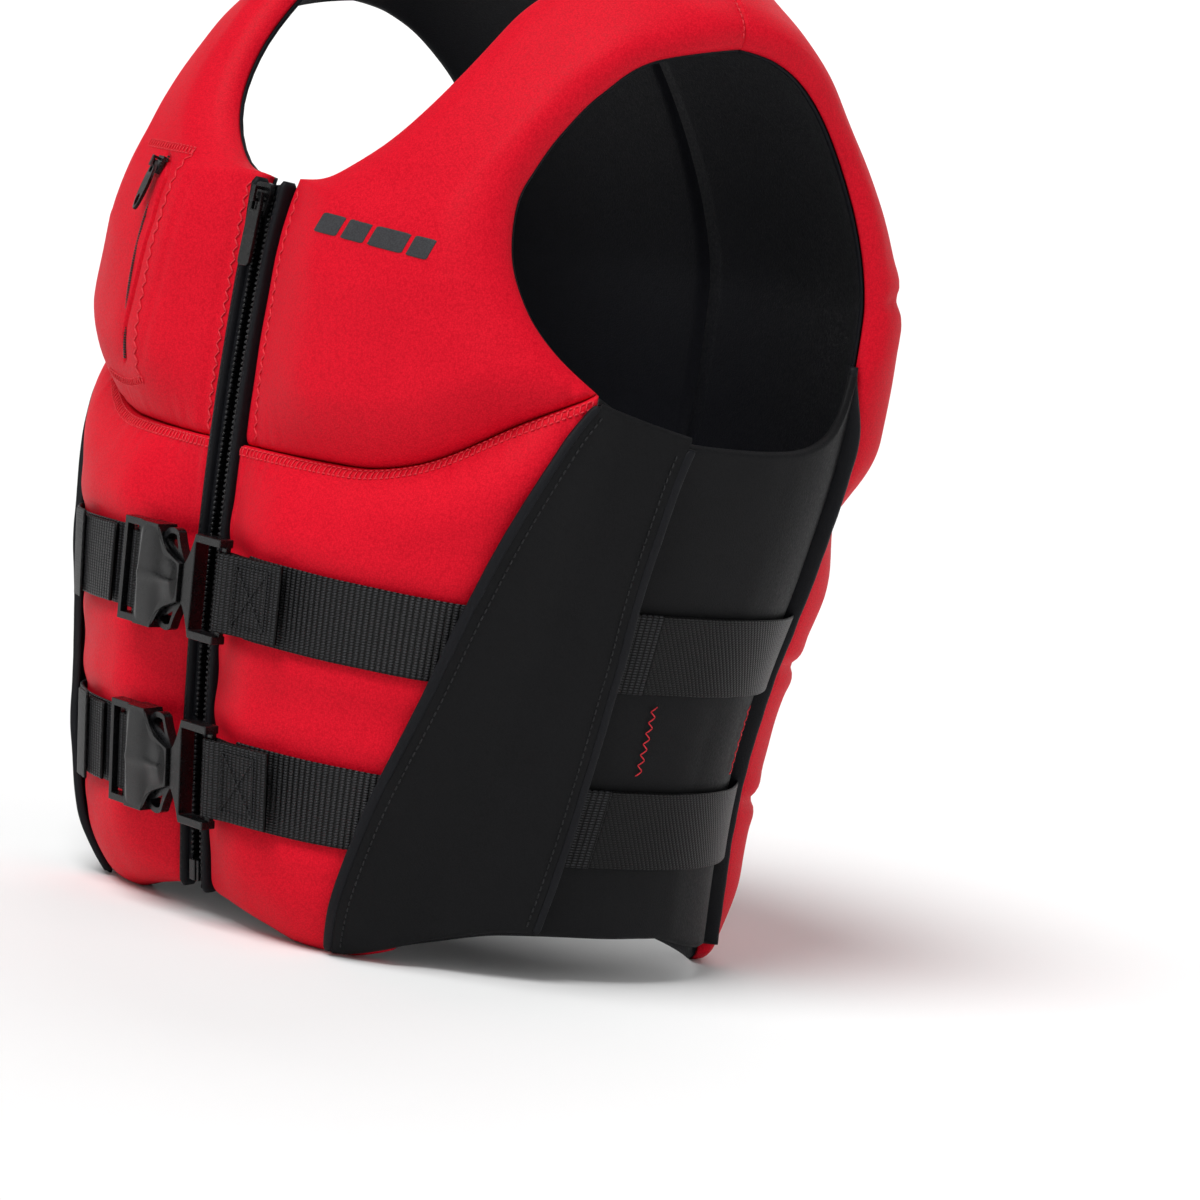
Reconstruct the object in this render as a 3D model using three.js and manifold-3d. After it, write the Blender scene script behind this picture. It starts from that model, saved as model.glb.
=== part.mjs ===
// Neoprene life jacket, standing on its hem as it is worn. Millimetres, +Z up.
// The wearer's front faces -Y and the wearer's left side is +X. The origin is on the
// floor under the middle of the jacket. Every panel is laid out on one torso surface,
// by an angle t round the body (degrees, 0 at the front, 90 at the wearer's left) and
// a height h measured up the surface, and is given a thickness outwards from it.
import * as THREE from 'three';
import Module from 'manifold-3d';
import { mergeVertices } from 'three/addons/utils/BufferGeometryUtils.js';

const wasm = await Module();
wasm.setup();

// ---- torso ----
const DOME_START = 320;          // height where the shoulders begin to close in
const DOME_RISE = 168;
const SIDE_ROUND = 2.35;         // exponents of the shoulder dome, side, front and back
const FRONT_ROUND = 1.6;
const BACK_ROUND = 1.45;
const ZIP_RADIUS = 1270;         // the front closes on one long circular arc
const ZIP_CENTRE_Z = 210;
const FRONT_DEPTH = 139.2;       // from the middle of the body to the arc's foremost point
// Against the height z: half width, depth of the back, and the section's exponent.
const HALF_WIDTH = [[0, 158], [80, 160], [140, 170], [200, 180], [260, 185], [340, 188], [490, 188]];
const BACK_DEPTH = [[0, 107], [80, 104], [140, 107], [200, 119], [260, 128], [340, 128], [490, 124]];
const SQUARENESS = [[0, 2.15], [80, 2.2], [140, 2.25], [200, 2.4], [260, 2.6], [340, 2.7], [490, 2.5]];

// ---- edges, as [t, h] points; those of the sides are [h, t] ----
const HEM = [[0, 15], [5, 13], [16, 6], [24, 0.5], [30, 0], [36, 2], [48, 12], [62, 20], [90, 22]];
const BACK_HEM = [[115, 20], [131, 10], [143, -0.8], [180, -0.8]];
const SEAM = [[0, 225], [19, 226], [28, 228], [38, 237], [51, 258], [64, 276]];
const NECK_FRONT = [[7, 354], [15.5, 378], [22.5, 409], [29.5, 446], [38, 468], [54, 496], [89.85, 515.4]];
const ARMHOLE_FRONT = [[55, 291], [48, 308], [43, 330], [41.2, 355], [42.9, 372], [46.5, 391],
  [53, 412], [65, 433], [89.85, 447]];
const BELLY_SIDE = [[5, 41], [44, 45], [84, 50.5], [134, 55], [178, 58.5], [219, 61.5], [254, 63.5],
  [276, 64]];
const WING_FRONT = [[4, 32], [44, 36.5], [84, 40.9], [134, 46.2], [178, 50.2], [219, 54.9], [254, 60.7],
  [274, 65.4]];
const WING_REAR = [[19, 66.5], [60, 70.2], [98, 72.5], [146, 73.8], [194, 75.3], [232, 78.2], [262, 81.5]];
const BACK_SIDE = [[4, 136], [60, 134], [130, 131], [200, 129.4], [262, 129], [300, 129.4]];
const ARMHOLE_FLOOR = [[60, 281], [66, 273], [74, 263], [82, 258.5], [95, 257], [108, 261], [120, 275],
  [128.4, 300]];
const ARMHOLE_BACK = [[129.4, 300], [132, 330], [132.4, 365], [131, 389], [125.4, 410], [114.7, 430],
  [102, 442], [90.15, 447]];
const NECK_BACK = [[180, 441], [172.9, 444], [163.2, 454], [151, 472], [135, 493], [106, 513], [90.15, 515.4]];
const BACK_SEAM_H = 226;
const NECK_CORNER_H = 349;
const SEAM_GAP = 0.5;

// ---- layers, outwards from the torso surface ----
const LINER = [0.3, 2.4];
const SHELL_BASE = 3.2;
const SHELL_WALL = 1.8;
const FOAM_BASE = 4.4;
const FOAM_PLAY = 2.8;           // between foam and shell
const FOAM_PINCH = 0.014;
const EDGE = 11;                 // thickness at a sewn edge
const CROWN = 27;                // thickness at the middle of a pad
const SHOULDER = 15;
const BACK_CROWN = 26;
const SIDE_TOP = 5.3;
const WEB = 1.7;                 // webbing thickness
const WEB_WIDTH = 38;
const WEB_LIFT = 2.2;             // from a pad to the webbing on it
const WING_LIFT = 5.1;
const WING_THICK = 3.6;
const STRAP_H = [160, 75];       // middle of the upper and the lower strap
const STRAP_START_X = 44;
const TAIL_X = [[54, 104], [54, 86]];
const KEEPER_X = [84, 68];

// ---- front zip ----
const TEETH = [2.0, 3.6];        // distance of each row from the middle
const TEETH_D = [9, 13];
const TAPE = [3.9, 7.3];
const TAPE_D = [10.4, 11.4];
const ZIP_BINDING = [7.6, 13.4];
const ZIP_BINDING_D = [5.8, 16.5];
const PANEL_X = 13.9;            // first millimetre of the red panels
const GUARD_D = [3, 5.2];
const ZIP_TOP = 345;
const ZIP_FOOT = 18;
const ZIP_BOX_TOP = 28;
const SLIDER_H = 338;            // middle of the closed slider
const SLIDER_LENGTH = 16;

// ---- pocket on the wearer's right chest, in the chest panel's own (u, v) ----
const POCKET_TOP = [0.36, 0.47];
const POCKET_FOOT = [0.345, 0.1];
const POCKET_BAG = [0.14, 0.62, 0.07, 0.5];
const POCKET_SLOT = 4.2;

// ---- buckles, in their own frame: x across the front, y up, n outwards ----
const BUCKLE_D = 24.9;           // from the torso surface to the buckle's back
const BUCKLE_THICK = 11;
const BUCKLE_PLATE = 2.4;
const BUCKLE_HALF = 24.5;

const DARK = { fabric: 0x16171a, rubber: 0x1b1c1f, web: 0x18191b, plastic: 0x121316, lining: 0x0f1116 };
const RED = 0xd40726;
const finishes = {
  red_neoprene: { color: RED, roughness: 0.72, metalness: 0 },
  black_neoprene: { color: DARK.rubber, roughness: 0.7, metalness: 0 },
  binding_tape: { color: DARK.fabric, roughness: 0.75, metalness: 0 },
  lining: { color: DARK.lining, roughness: 0.85, metalness: 0 },
  foam: { color: 0xb9bcc0, roughness: 0.9, metalness: 0 },
  webbing: { color: DARK.web, roughness: 0.8, metalness: 0 },
  buckle_plastic: { color: DARK.plastic, roughness: 0.4, metalness: 0 },
  zip_plastic: { color: DARK.plastic, roughness: 0.45, metalness: 0 },
  zip_metal: { color: 0x222326, roughness: 0.35, metalness: 0.7 },
};

const jacket = new THREE.Group();

function add(name, finish, geometry) {
  const mesh = new THREE.Mesh(geometry, new THREE.MeshStandardMaterial(finishes[finish]));
  mesh.name = name;
  jacket.add(mesh);
  return mesh;
}

// ---- small mathematics ----
const radians = THREE.MathUtils.degToRad;
const clamp = THREE.MathUtils.clamp;
const mix = THREE.MathUtils.lerp;

// A smooth value through [x, y] points, flat beyond both ends.
function profile(points) {
  const last = points.length - 1;
  const slope = (i) => {
    const a = points[Math.max(i - 1, 0)];
    const b = points[Math.min(i + 1, last)];
    return (b[1] - a[1]) / (b[0] - a[0]);
  };
  return (value) => {
    const x = clamp(value, points[0][0], points[last][0]);
    let i = 0;
    while (i < last - 1 && x > points[i + 1][0]) i += 1;
    const [x0, y0] = points[i];
    const [x1, y1] = points[i + 1];
    const span = x1 - x0;
    const s = (x - x0) / span;
    const rise = (2 * s - 3) * s * s;
    return y0 * (1 + rise) - y1 * rise + span * s * (1 - s) * ((1 - s) * slope(i) - s * slope(i + 1));
  };
}

// 0 at an edge, rising smoothly to 1 at the given reach from it.
const swell = (distance, reach) => Math.sin(clamp(distance / reach, 0, 1) * Math.PI / 2);

const halfWidth = profile(HALF_WIDTH);
const backDepth = profile(BACK_DEPTH);
const squareness = profile(SQUARENESS);
const hem = profile(HEM);
const backHem = profile(BACK_HEM);
const seam = profile(SEAM);
const bellySide = profile(BELLY_SIDE);
const wingFront = profile(WING_FRONT);
const wingRear = profile(WING_REAR);
const backSide = profile(BACK_SIDE);
const armholeFloor = profile(ARMHOLE_FLOOR);

function frontDepth(z) {
  const rise = Math.min(z, DOME_START) - ZIP_CENTRE_Z;
  return Math.sqrt(ZIP_RADIUS ** 2 - rise ** 2) - ZIP_RADIUS + FRONT_DEPTH;
}

// The torso surface: a superellipse at each height, closing in over the shoulders.
function torso(t, h) {
  const climb = clamp((h - DOME_START) / DOME_RISE, 0, Math.PI / 2 - 1e-4);
  const z = h <= DOME_START ? h : DOME_START + DOME_RISE * Math.sin(climb);
  const narrowing = (power) => (1 - Math.sin(climb) ** power) ** (1 / power);
  const across = Math.sin(radians(t));
  const forward = Math.cos(radians(t));
  const power = 2 / squareness(z);
  const depth = forward > 0 ? frontDepth(z) * narrowing(FRONT_ROUND) : backDepth(z) * narrowing(BACK_ROUND);
  return new THREE.Vector3(
    halfWidth(z) * narrowing(SIDE_ROUND) * Math.sign(across) * Math.abs(across) ** power,
    -depth * Math.sign(forward) * Math.abs(forward) ** power,
    z);
}

// A point d outwards from the torso surface, never below the floor.
function outside(t, h, d) {
  const round = torso(t + 0.4, h).sub(torso(t - 0.4, h));
  const up = torso(t, h + 1).sub(torso(t, h - 1));
  const point = torso(t, h).addScaledVector(round.cross(up).normalize(), d);
  if (Math.abs(point.x) < 1e-6) point.x = 0;
  point.z = Math.max(point.z, 0);
  return point;
}

// The angle t at which the front of the torso is x from the middle.
const angleAt = (x, h) => Math.asin((x / halfWidth(h)) ** (squareness(h) / 2)) * 180 / Math.PI;

// ---- solids ----
function welded(geometry) {
  const bare = geometry.clone();
  bare.deleteAttribute('normal');
  bare.deleteAttribute('uv');
  return mergeVertices(bare, 1e-4);
}

function turned(geometry) {
  const index = geometry.index.array;
  for (let i = 0; i < index.length; i += 3) {
    const first = index[i];
    index[i] = index[i + 1];
    index[i + 1] = first;
  }
  return geometry;
}

function volume(geometry) {
  const position = geometry.attributes.position;
  const corner = [new THREE.Vector3(), new THREE.Vector3(), new THREE.Vector3()];
  let sum = 0;
  for (let i = 0; i < geometry.index.count; i += 3) {
    corner.forEach((point, k) => point.fromBufferAttribute(position, geometry.index.getX(i + k)));
    sum += corner[0].dot(corner[1].clone().cross(corner[2]));
  }
  return sum / 6;
}

// A block of nu x nv x nw cells bent into shape: shape(u, v, w) gives each corner's place.
function bent(nu, nv, nw, shape) {
  const body = welded(new THREE.BoxGeometry(1, 1, 1, nu, nv, nw));
  const position = body.attributes.position;
  for (let i = 0; i < position.count; i += 1) {
    const place = shape(position.getX(i) + 0.5, position.getY(i) + 0.5, position.getZ(i) + 0.5);
    position.setXYZ(i, place.x, place.y, place.z);
  }
  return volume(body) < 0 ? turned(body) : body;
}

function toSolid(geometry) {
  const part = welded(geometry);
  return new wasm.Manifold(new wasm.Mesh({
    numProp: 3,
    vertProperties: new Float32Array(part.attributes.position.array),
    triVerts: new Uint32Array(part.index.array),
  }));
}

function toGeometry(solid) {
  const mesh = solid.getMesh();
  const geometry = new THREE.BufferGeometry();
  geometry.setAttribute('position', new THREE.BufferAttribute(new Float32Array(mesh.vertProperties), 3));
  geometry.setIndex(new THREE.BufferAttribute(new Uint32Array(mesh.triVerts), 1));
  return geometry;
}

function cut(body, ...tools) {
  return toGeometry(tools.reduce((left, tool) => left.subtract(toSolid(tool)), toSolid(body)));
}

function join(...parts) {
  return toGeometry(parts.map(toSolid).reduce((sum, part) => sum.add(part)));
}

function mirrored(geometry) {
  const copy = geometry.clone();
  copy.applyMatrix4(new THREE.Matrix4().makeScale(-1, 1, 1));
  return turned(copy);
}

// ---- panels: four edges on the torso, filled in between (a Coons patch) ----
const spline = (points) => {
  const curve = new THREE.SplineCurve(points.map(([t, h]) => new THREE.Vector2(t, h)));
  return (s) => curve.getPoint(s).toArray();
};

// Two edges one after the other, meeting in a corner at s = bend.
const cornered = (first, second, bend) => (s) => (
  s < bend ? first(s / bend) : second((s - bend) / (1 - bend)));

function patch(inner, outer, bottom, top) {
  const [b0, b1, t0, t1] = [bottom(0), bottom(1), top(0), top(1)];
  return (u, v) => {
    const [l, r, b, t] = [inner(v), outer(v), bottom(u), top(u)];
    return [0, 1].map((k) => mix(b[k], t[k], v) + mix(l[k], r[k], u)
      - mix(mix(b0[k], b1[k], u), mix(t0[k], t1[k], u), v));
  };
}

// A layer of a panel between two depths. margin gives the strips left free along the inner,
// outer, bottom and top edges, the first one as a function of v. pinch draws only the
// outermost ring of corners further in, where there is a strip.
const NO_MARGIN = [() => 0, 0, 0, 0];
function layer(panel, cells, low, high, margin = NO_MARGIN, pinch = 0) {
  const place = (s, before, after) => {
    const drawn = (s === 0 && before > 0 ? pinch : 0) - (s === 1 && after > 0 ? pinch : 0);
    return mix(before, 1 - after, s) + drawn;
  };
  return bent(cells[0], cells[1], 1, (a, b, w) => {
    const v = place(b, margin[2], margin[3]);
    const u = place(a, margin[0](v), margin[1]);
    const [t, h] = panel(u, v);
    return outside(t, h, mix(low(u, v, t, h), high(u, v, t, h), w));
  });
}

const flat = (depth) => () => depth;
const lower = (depth, by) => (...place) => depth(...place) - by;

// A shell open towards the liner, and the foam that fills it.
function shell(panel, cells, top, inset) {
  const body = layer(panel, cells, flat(SHELL_BASE), top);
  const hollow = layer(panel, cells, flat(SHELL_BASE - 2), lower(top, SHELL_WALL), inset);
  return cut(body, hollow);
}

function foam(panel, cells, top, inset, sink = 0) {
  return layer(panel, cells, flat(FOAM_BASE), lower(top, SHELL_WALL + FOAM_PLAY + sink), inset, FOAM_PINCH);
}

const zipEdge = (h0, h1) => (s) => {
  const h = mix(h0, h1, s);
  return [angleAt(PANEL_X, h), h];
};
const along = (edge, t0, t1, shift = 0) => (s) => {
  const t = mix(t0, t1, s);
  return [t, edge(t) + shift];
};
const upwards = (edge, h0, h1) => (s) => {
  const h = mix(h0, h1, s);
  return [edge(h), h];
};
const straight = (from, to) => (s) => [mix(from[0], to[0], s), mix(from[1], to[1], s)];

const HEM_CORNER = [angleAt(PANEL_X, 14), hem(3)];
const NECK_CORNER = [angleAt(PANEL_X, NECK_CORNER_H), NECK_CORNER_H];
const BELLY_FOOT = 42;           // angle where the belly pad's hem ends

const neckline = spline([NECK_CORNER, ...NECK_FRONT]);
const shoulderFront = straight(NECK_FRONT.at(-1), ARMHOLE_FRONT.at(-1));
const neckBack = spline(NECK_BACK);
const armholeBack = spline(ARMHOLE_BACK);
const shoulderBack = straight(NECK_BACK.at(-1), ARMHOLE_BACK.at(-1));

// Each panel keeps the given gap to its neighbour across the chest seam or back seam.
const chestPanel = (gap) => patch(
  cornered(zipEdge(seam(3) + gap, NECK_CORNER_H), neckline, 0.4),
  spline([[64, seam(64) + gap], ...ARMHOLE_FRONT]),
  along(seam, HEM_CORNER[0], 64, gap),
  shoulderFront);

const bellyPanel = (gap) => patch(
  zipEdge(HEM_CORNER[1], seam(3) - gap),
  upwards(bellySide, hem(BELLY_FOOT), seam(64) - gap),
  along(hem, HEM_CORNER[0], BELLY_FOOT),
  along(seam, HEM_CORNER[0], 64, -gap));

const NECK_BEND = 0.6;           // how far up the back panel its neck edge begins
const BACK_FOOT = 136;           // angle where the back panel's hem ends
const backLowerHalf = (gap) => patch(
  straight([180, backHem(180)], [180, BACK_SEAM_H - gap]),
  upwards(backSide, backHem(BACK_FOOT), BACK_SEAM_H - gap),
  along(backHem, 180, BACK_FOOT),
  straight([180, BACK_SEAM_H - gap], [backSide(BACK_SEAM_H), BACK_SEAM_H - gap]));

const backUpperHalf = (gap) => patch(
  cornered(straight([180, BACK_SEAM_H + gap], [180, NECK_BACK[0][1]]), neckBack, NECK_BEND),
  cornered(upwards(backSide, BACK_SEAM_H + gap, 300), armholeBack, 0.35),
  straight([180, BACK_SEAM_H + gap], [backSide(BACK_SEAM_H), BACK_SEAM_H + gap]),
  shoulderBack);

const chest = chestPanel(SEAM_GAP);
const belly = bellyPanel(SEAM_GAP);
const backLower = backLowerHalf(SEAM_GAP);
const backUpper = backUpperHalf(SEAM_GAP);

// ---- pad heights ----
const chestTop = (u, v) => {
  const crown = mix(CROWN, SHOULDER, swell(v - 0.3, 0.6));
  return EDGE + (crown - EDGE) * swell(u, 0.28) * swell(1 - u, 0.26) * swell(v, 0.17);
};
const bellyTop = (u, v, t, h) => {
  const across = swell(t - HEM_CORNER[0], 13) * swell(bellySide(h) - t, 14);
  const upright = swell(h - hem(t), 34) * swell(seam(t) - h, 36);
  return EDGE + 1 + (CROWN - EDGE - 1) * across * upright;
};
const backLowerTop = (u, v) => {
  const upright = swell(v, 0.2) * swell(1 - v, 0.18);
  return EDGE + (BACK_CROWN - EDGE) * swell(1 - u, 0.3) * upright;
};
const backUpperTop = (u, v) => {
  const crown = mix(BACK_CROWN, SHOULDER, swell(v - 0.35, 0.6));
  const nearNeck = mix(1, swell(u, 0.25), clamp((v - 0.5) / 0.1, 0, 1));
  return EDGE + (crown - EDGE) * nearNeck * swell(1 - u, 0.26) * swell(v, 0.16);
};

// The jacket's outer face under the straps and wings.
function outerFace(t, h) {
  const edge = bellySide(h);
  if (t < edge) return bellyTop(0, 0, t, h);
  return mix(EDGE + 1, SIDE_TOP, swell(t - edge, 7));
}

// ---- covers, foams and liners ----
const INSET = [() => 0.02, 0.02, 0.012, 0.012];
const BACK_INSET = [() => 0, 0.02, 0.012, 0.012];
const YOKE_INSET = [(v) => 0.03 * swell(v - NECK_BEND, 0.1), 0.02, 0.012, 0.012];
const CHEST_CELLS = [7, 10];
const BELLY_CELLS = [7, 7];
const BACK_LOWER_CELLS = [6, 5];
const BACK_UPPER_CELLS = [6, 10];

const LINER_LAP = -0.2;          // the liner runs on across the seams
const lining = (panel, cells) => layer(panel, cells, flat(LINER[0]), flat(LINER[1]));
const bothHalves = (half) => join(half, mirrored(half));

for (const side of ['left', 'right']) {
  const place = side === 'left' ? (geometry) => geometry : mirrored;
  add(`${side}_belly_cover`, 'red_neoprene', place(shell(belly, BELLY_CELLS, bellyTop, INSET)));
  add(`${side}_belly_foam`, 'foam', place(foam(belly, BELLY_CELLS, bellyTop, INSET)));
  add(`${side}_front_liner`, 'lining', place(join(
    lining(bellyPanel(LINER_LAP), BELLY_CELLS),
    lining(chestPanel(LINER_LAP), CHEST_CELLS))));
}

// ---- the pocket's zip, on an arc over the right chest ----
const onChest = ([u, v], lift = 0) => {
  const [t, h] = chest(u, v);
  const point = outside(t, h, chestTop(u, v) + lift);
  point.x *= -1;
  return point;
};
const pocketHigh = onChest(POCKET_TOP);
const pocketLow = onChest(POCKET_FOOT);
const pocketMiddle = onChest([0, 1].map((k) => (POCKET_TOP[k] + POCKET_FOOT[k]) / 2));
const pocketUp = pocketHigh.clone().sub(pocketLow).normalize();
const chordMiddle = pocketHigh.clone().add(pocketLow).multiplyScalar(0.5);
const pocketOut = onChest(POCKET_TOP, 5).sub(pocketHigh).add(onChest(POCKET_FOOT, 5)).sub(pocketLow)
  .projectOnPlane(pocketUp).normalize();
const pocketAxis = pocketUp.clone().cross(pocketOut);
const halfChord = pocketHigh.distanceTo(pocketLow) / 2;
const pocketBow = pocketMiddle.clone().sub(chordMiddle).dot(pocketOut);
const pocketRadius = (halfChord ** 2 + pocketBow ** 2) / (2 * pocketBow);
const pocketCentre = chordMiddle.clone().addScaledVector(pocketOut, pocketBow - pocketRadius);
const POCKET_SWEEP = Math.asin(halfChord / pocketRadius);

// A frame on the pocket's arc: x across the slit, y up it, z outwards.
function pocketFrame(angle) {
  const up = pocketUp.clone().applyAxisAngle(pocketAxis, -angle);
  const out = pocketOut.clone().applyAxisAngle(pocketAxis, -angle);
  const frame = new THREE.Matrix4().makeBasis(up.clone().cross(out), up, out);
  return frame.setPosition(pocketCentre.clone().addScaledVector(out, pocketRadius));
}

function pocketBar(width, low, high, spare) {
  const reach = POCKET_SWEEP + spare / pocketRadius;
  return bent(1, 8, 1, (u, v, w) => new THREE.Vector3((u - 0.5) * width, 0, mix(low, high, w))
    .applyMatrix4(pocketFrame(mix(-reach, reach, v))));
}
const pocketSlot = pocketBar(POCKET_SLOT, -3, 5, 2);

const leftChest = shell(chest, CHEST_CELLS, chestTop, INSET);
add('left_chest_cover', 'red_neoprene', leftChest);
add('left_chest_foam', 'foam', foam(chest, CHEST_CELLS, chestTop, INSET));
add('right_chest_cover', 'red_neoprene', cut(mirrored(leftChest), pocketSlot));
add('right_chest_foam', 'foam', mirrored(foam(chest, CHEST_CELLS, chestTop, INSET, 3.8)));

const lowerBack = [backLower, BACK_LOWER_CELLS, backLowerTop, BACK_INSET];
const upperBack = [backUpper, BACK_UPPER_CELLS, backUpperTop, YOKE_INSET];
add('back_lower_cover', 'red_neoprene', bothHalves(shell(...lowerBack)));
add('back_lower_foam', 'foam', bothHalves(foam(...lowerBack)));
add('back_upper_cover', 'red_neoprene', bothHalves(shell(...upperBack)));
add('back_upper_foam', 'foam', bothHalves(foam(...upperBack)));
add('back_liner', 'lining', bothHalves(join(
  lining(backLowerHalf(LINER_LAP), BACK_LOWER_CELLS),
  lining(backUpperHalf(LINER_LAP), BACK_UPPER_CELLS))));

// ---- side panels, wings and their bindings ----
const wingBase = (t, h) => outerFace(t, h) + WING_LIFT;
const wingTop = (t, h) => wingBase(t, h) + WING_THICK;
const WING_EDGE = 0.45;          // degrees between a wing and its binding
const BINDING_WIDE = 1.6;        // degrees that a binding covers
const WING_FOOT_T = [32, 66.9];   // angles of the wing's two lower corners
const WING_HEAD_H = [273, 261.5];
const WING_HEM_GAP = 3;
function sideWing() {
  return bent(5, 12, 1, (u, v, w) => {
    const foot = hem(mix(WING_FOOT_T[0], WING_FOOT_T[1], u)) + WING_HEM_GAP;
    const h = mix(foot, mix(WING_HEAD_H[0], WING_HEAD_H[1], u), v);
    const t = mix(wingFront(h), wingRear(h), u);
    return outside(t, h, mix(wingBase(t, h), wingTop(t, h), w));
  });
}

function wingBinding(edge, sign, bottom, top) {
  return bent(1, 12, 1, (u, v, w) => {
    const h = mix(bottom, top, v);
    const t = edge(h) + sign * mix(WING_EDGE, WING_EDGE + BINDING_WIDE, u);
    return outside(t, h, mix(wingBase(t, h) + 0.2, wingTop(t, h) + 0.6, w));
  });
}

const BACK_BINDING = [0.4, 2.6];  // degrees ahead of the back panel's side

for (const side of ['left', 'right']) {
  const place = side === 'left' ? (geometry) => geometry : mirrored;
  add(`${side}_side_panel`, 'black_neoprene', place(bent(7, 9, 1, (u, v, w) => {
    const sideT = (h) => mix(bellySide(h) + 0.8, backSide(h) - BACK_BINDING[1] - 0.5, u);
    const foot = mix(hem(sideT(20)), 12, swell(u - 0.6, 0.4));
    const head = armholeFloor(sideT(270)) - 0.5;
    const h = mix(foot, head, v);
    return outside(sideT(h), h, mix(LINER[0], SIDE_TOP, w));
  })));
  add(`${side}_side_wing`, 'black_neoprene', place(sideWing()));
  add(`${side}_wing_front_binding`, 'binding_tape', place(wingBinding(wingFront, -1, 5, 272)));
  add(`${side}_wing_rear_binding`, 'binding_tape', place(wingBinding(wingRear, 1, 24, 256)));
  add(`${side}_back_binding`, 'binding_tape', place(bent(1, 10, 1, (u, v, w) => {
    const h = mix(11, 297, v);
    return outside(backSide(h) - mix(BACK_BINDING[1], BACK_BINDING[0], u), h, mix(LINER[0], EDGE + 1.5, w));
  })));
}

// ---- front zip, on the arc through the middle of the front ----
function onZip(x, h, d) {
  const climb = Math.asin((h - ZIP_CENTRE_Z) / ZIP_RADIUS);
  const reach = ZIP_RADIUS + d;
  return new THREE.Vector3(x, ZIP_RADIUS - FRONT_DEPTH - reach * Math.cos(climb),
    ZIP_CENTRE_Z + reach * Math.sin(climb));
}

function zipBar(cells, x, h, d) {
  return bent(1, cells, 1, (u, v, w) => onZip(mix(x[0], x[1], u), mix(h[0], h[1], v), mix(d[0], d[1], w)));
}

for (const side of ['left', 'right']) {
  const place = side === 'left' ? (geometry) => geometry : mirrored;
  add(`${side}_zip_teeth`, 'zip_plastic', place(zipBar(10, TEETH, [ZIP_BOX_TOP + 0.4, ZIP_TOP], TEETH_D)));
  add(`${side}_zip_tape`, 'binding_tape', place(zipBar(10, TAPE, [ZIP_FOOT, ZIP_TOP + 1], TAPE_D)));
  add(`${side}_zip_binding`, 'binding_tape', place(zipBar(12, ZIP_BINDING, [ZIP_FOOT - 4, ZIP_TOP + 3],
    ZIP_BINDING_D)));
}
const GUARD_X = [-ZIP_BINDING[1], ZIP_BINDING[1]];
add('zip_guard', 'black_neoprene', zipBar(10, GUARD_X, [ZIP_FOOT - 3, ZIP_TOP], GUARD_D));
add('zip_box', 'zip_plastic', zipBar(1, [-3.4, 1.2], [ZIP_FOOT, ZIP_BOX_TOP], [8.2, 13.6]));
add('zip_pin', 'zip_plastic', zipBar(1, [1.6, 3.4], [ZIP_FOOT, ZIP_BOX_TOP], [9, 13]));

// The slider: two plates, the post between them and an arch that holds the pull.
const SLIDER_HALF = SLIDER_LENGTH / 2;
const sliderAngle = Math.asin((SLIDER_H - ZIP_CENTRE_Z) / ZIP_RADIUS);
function onSlider(geometry, up, d) {
  const frame = new THREE.Matrix4().makeRotationX(-sliderAngle);
  frame.setPosition(onZip(0, SLIDER_H, d));
  return welded(geometry).applyMatrix4(new THREE.Matrix4().multiplyMatrices(frame,
    new THREE.Matrix4().makeTranslation(0, 0, up)));
}
const plateOutline = () => {
  const shape = new THREE.Shape();
  shape.moveTo(-4.2, -SLIDER_HALF);
  shape.lineTo(4.2, -SLIDER_HALF);
  shape.lineTo(6.6, SLIDER_HALF - 6);
  shape.quadraticCurveTo(6.6, SLIDER_HALF, 3.4, SLIDER_HALF);
  shape.lineTo(-3.4, SLIDER_HALF);
  shape.quadraticCurveTo(-6.6, SLIDER_HALF, -6.6, SLIDER_HALF - 6);
  return shape;
};
function plate(thick) {
  const geometry = new THREE.ExtrudeGeometry(plateOutline(),
    { depth: thick, bevelEnabled: false, curveSegments: 4 });
  return geometry.rotateX(Math.PI / 2).translate(0, thick / 2, 0);
}
const ARCH_D = 16;               // foot of the arch
const ARCH_Z = 2;                // middle of the arch above the slider's middle
const PULL_AXIS_D = 17.9;
add('main_slider', 'zip_metal', join(
  onSlider(plate(2.2), 0, 7.1),
  onSlider(plate(2.2), 0, 14.9),
  onSlider(new THREE.BoxGeometry(2.8, 6, 4), SLIDER_HALF - 2.4, 11),
  onSlider(new THREE.BoxGeometry(2.6, 4.6, 1.6), ARCH_Z + 2.9, ARCH_D + 2),
  onSlider(new THREE.BoxGeometry(2.6, 4.6, 1.6), ARCH_Z - 2.9, ARCH_D + 2),
  onSlider(new THREE.BoxGeometry(2.6, 1.3, 7.4), ARCH_Z, ARCH_D + 4.6)));

function pullPlate(width, length, window, thick, tipRadius) {
  const shape = new THREE.Shape();
  const half = width / 2;
  shape.moveTo(-half * 0.8, 1.1);
  shape.lineTo(-half, -6);
  shape.lineTo(-half, -length + tipRadius);
  shape.absarc(-half + tipRadius, -length + tipRadius, tipRadius, Math.PI, Math.PI * 1.5, false);
  shape.absarc(half - tipRadius, -length + tipRadius, tipRadius, Math.PI * 1.5, Math.PI * 2, false);
  shape.lineTo(half, -6);
  shape.lineTo(half * 0.8, 1.1);
  const hole = new THREE.Path();
  hole.moveTo(-window[0] / 2, -1.1);
  hole.lineTo(window[0] / 2, -1.1);
  hole.lineTo(window[0] / 2, -window[1]);
  hole.lineTo(-window[0] / 2, -window[1]);
  shape.holes.push(hole);
  const geometry = new THREE.ExtrudeGeometry(shape, { depth: thick, bevelEnabled: false, curveSegments: 4 });
  return geometry.rotateX(Math.PI / 2).translate(0, thick / 2, 0);
}
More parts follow.
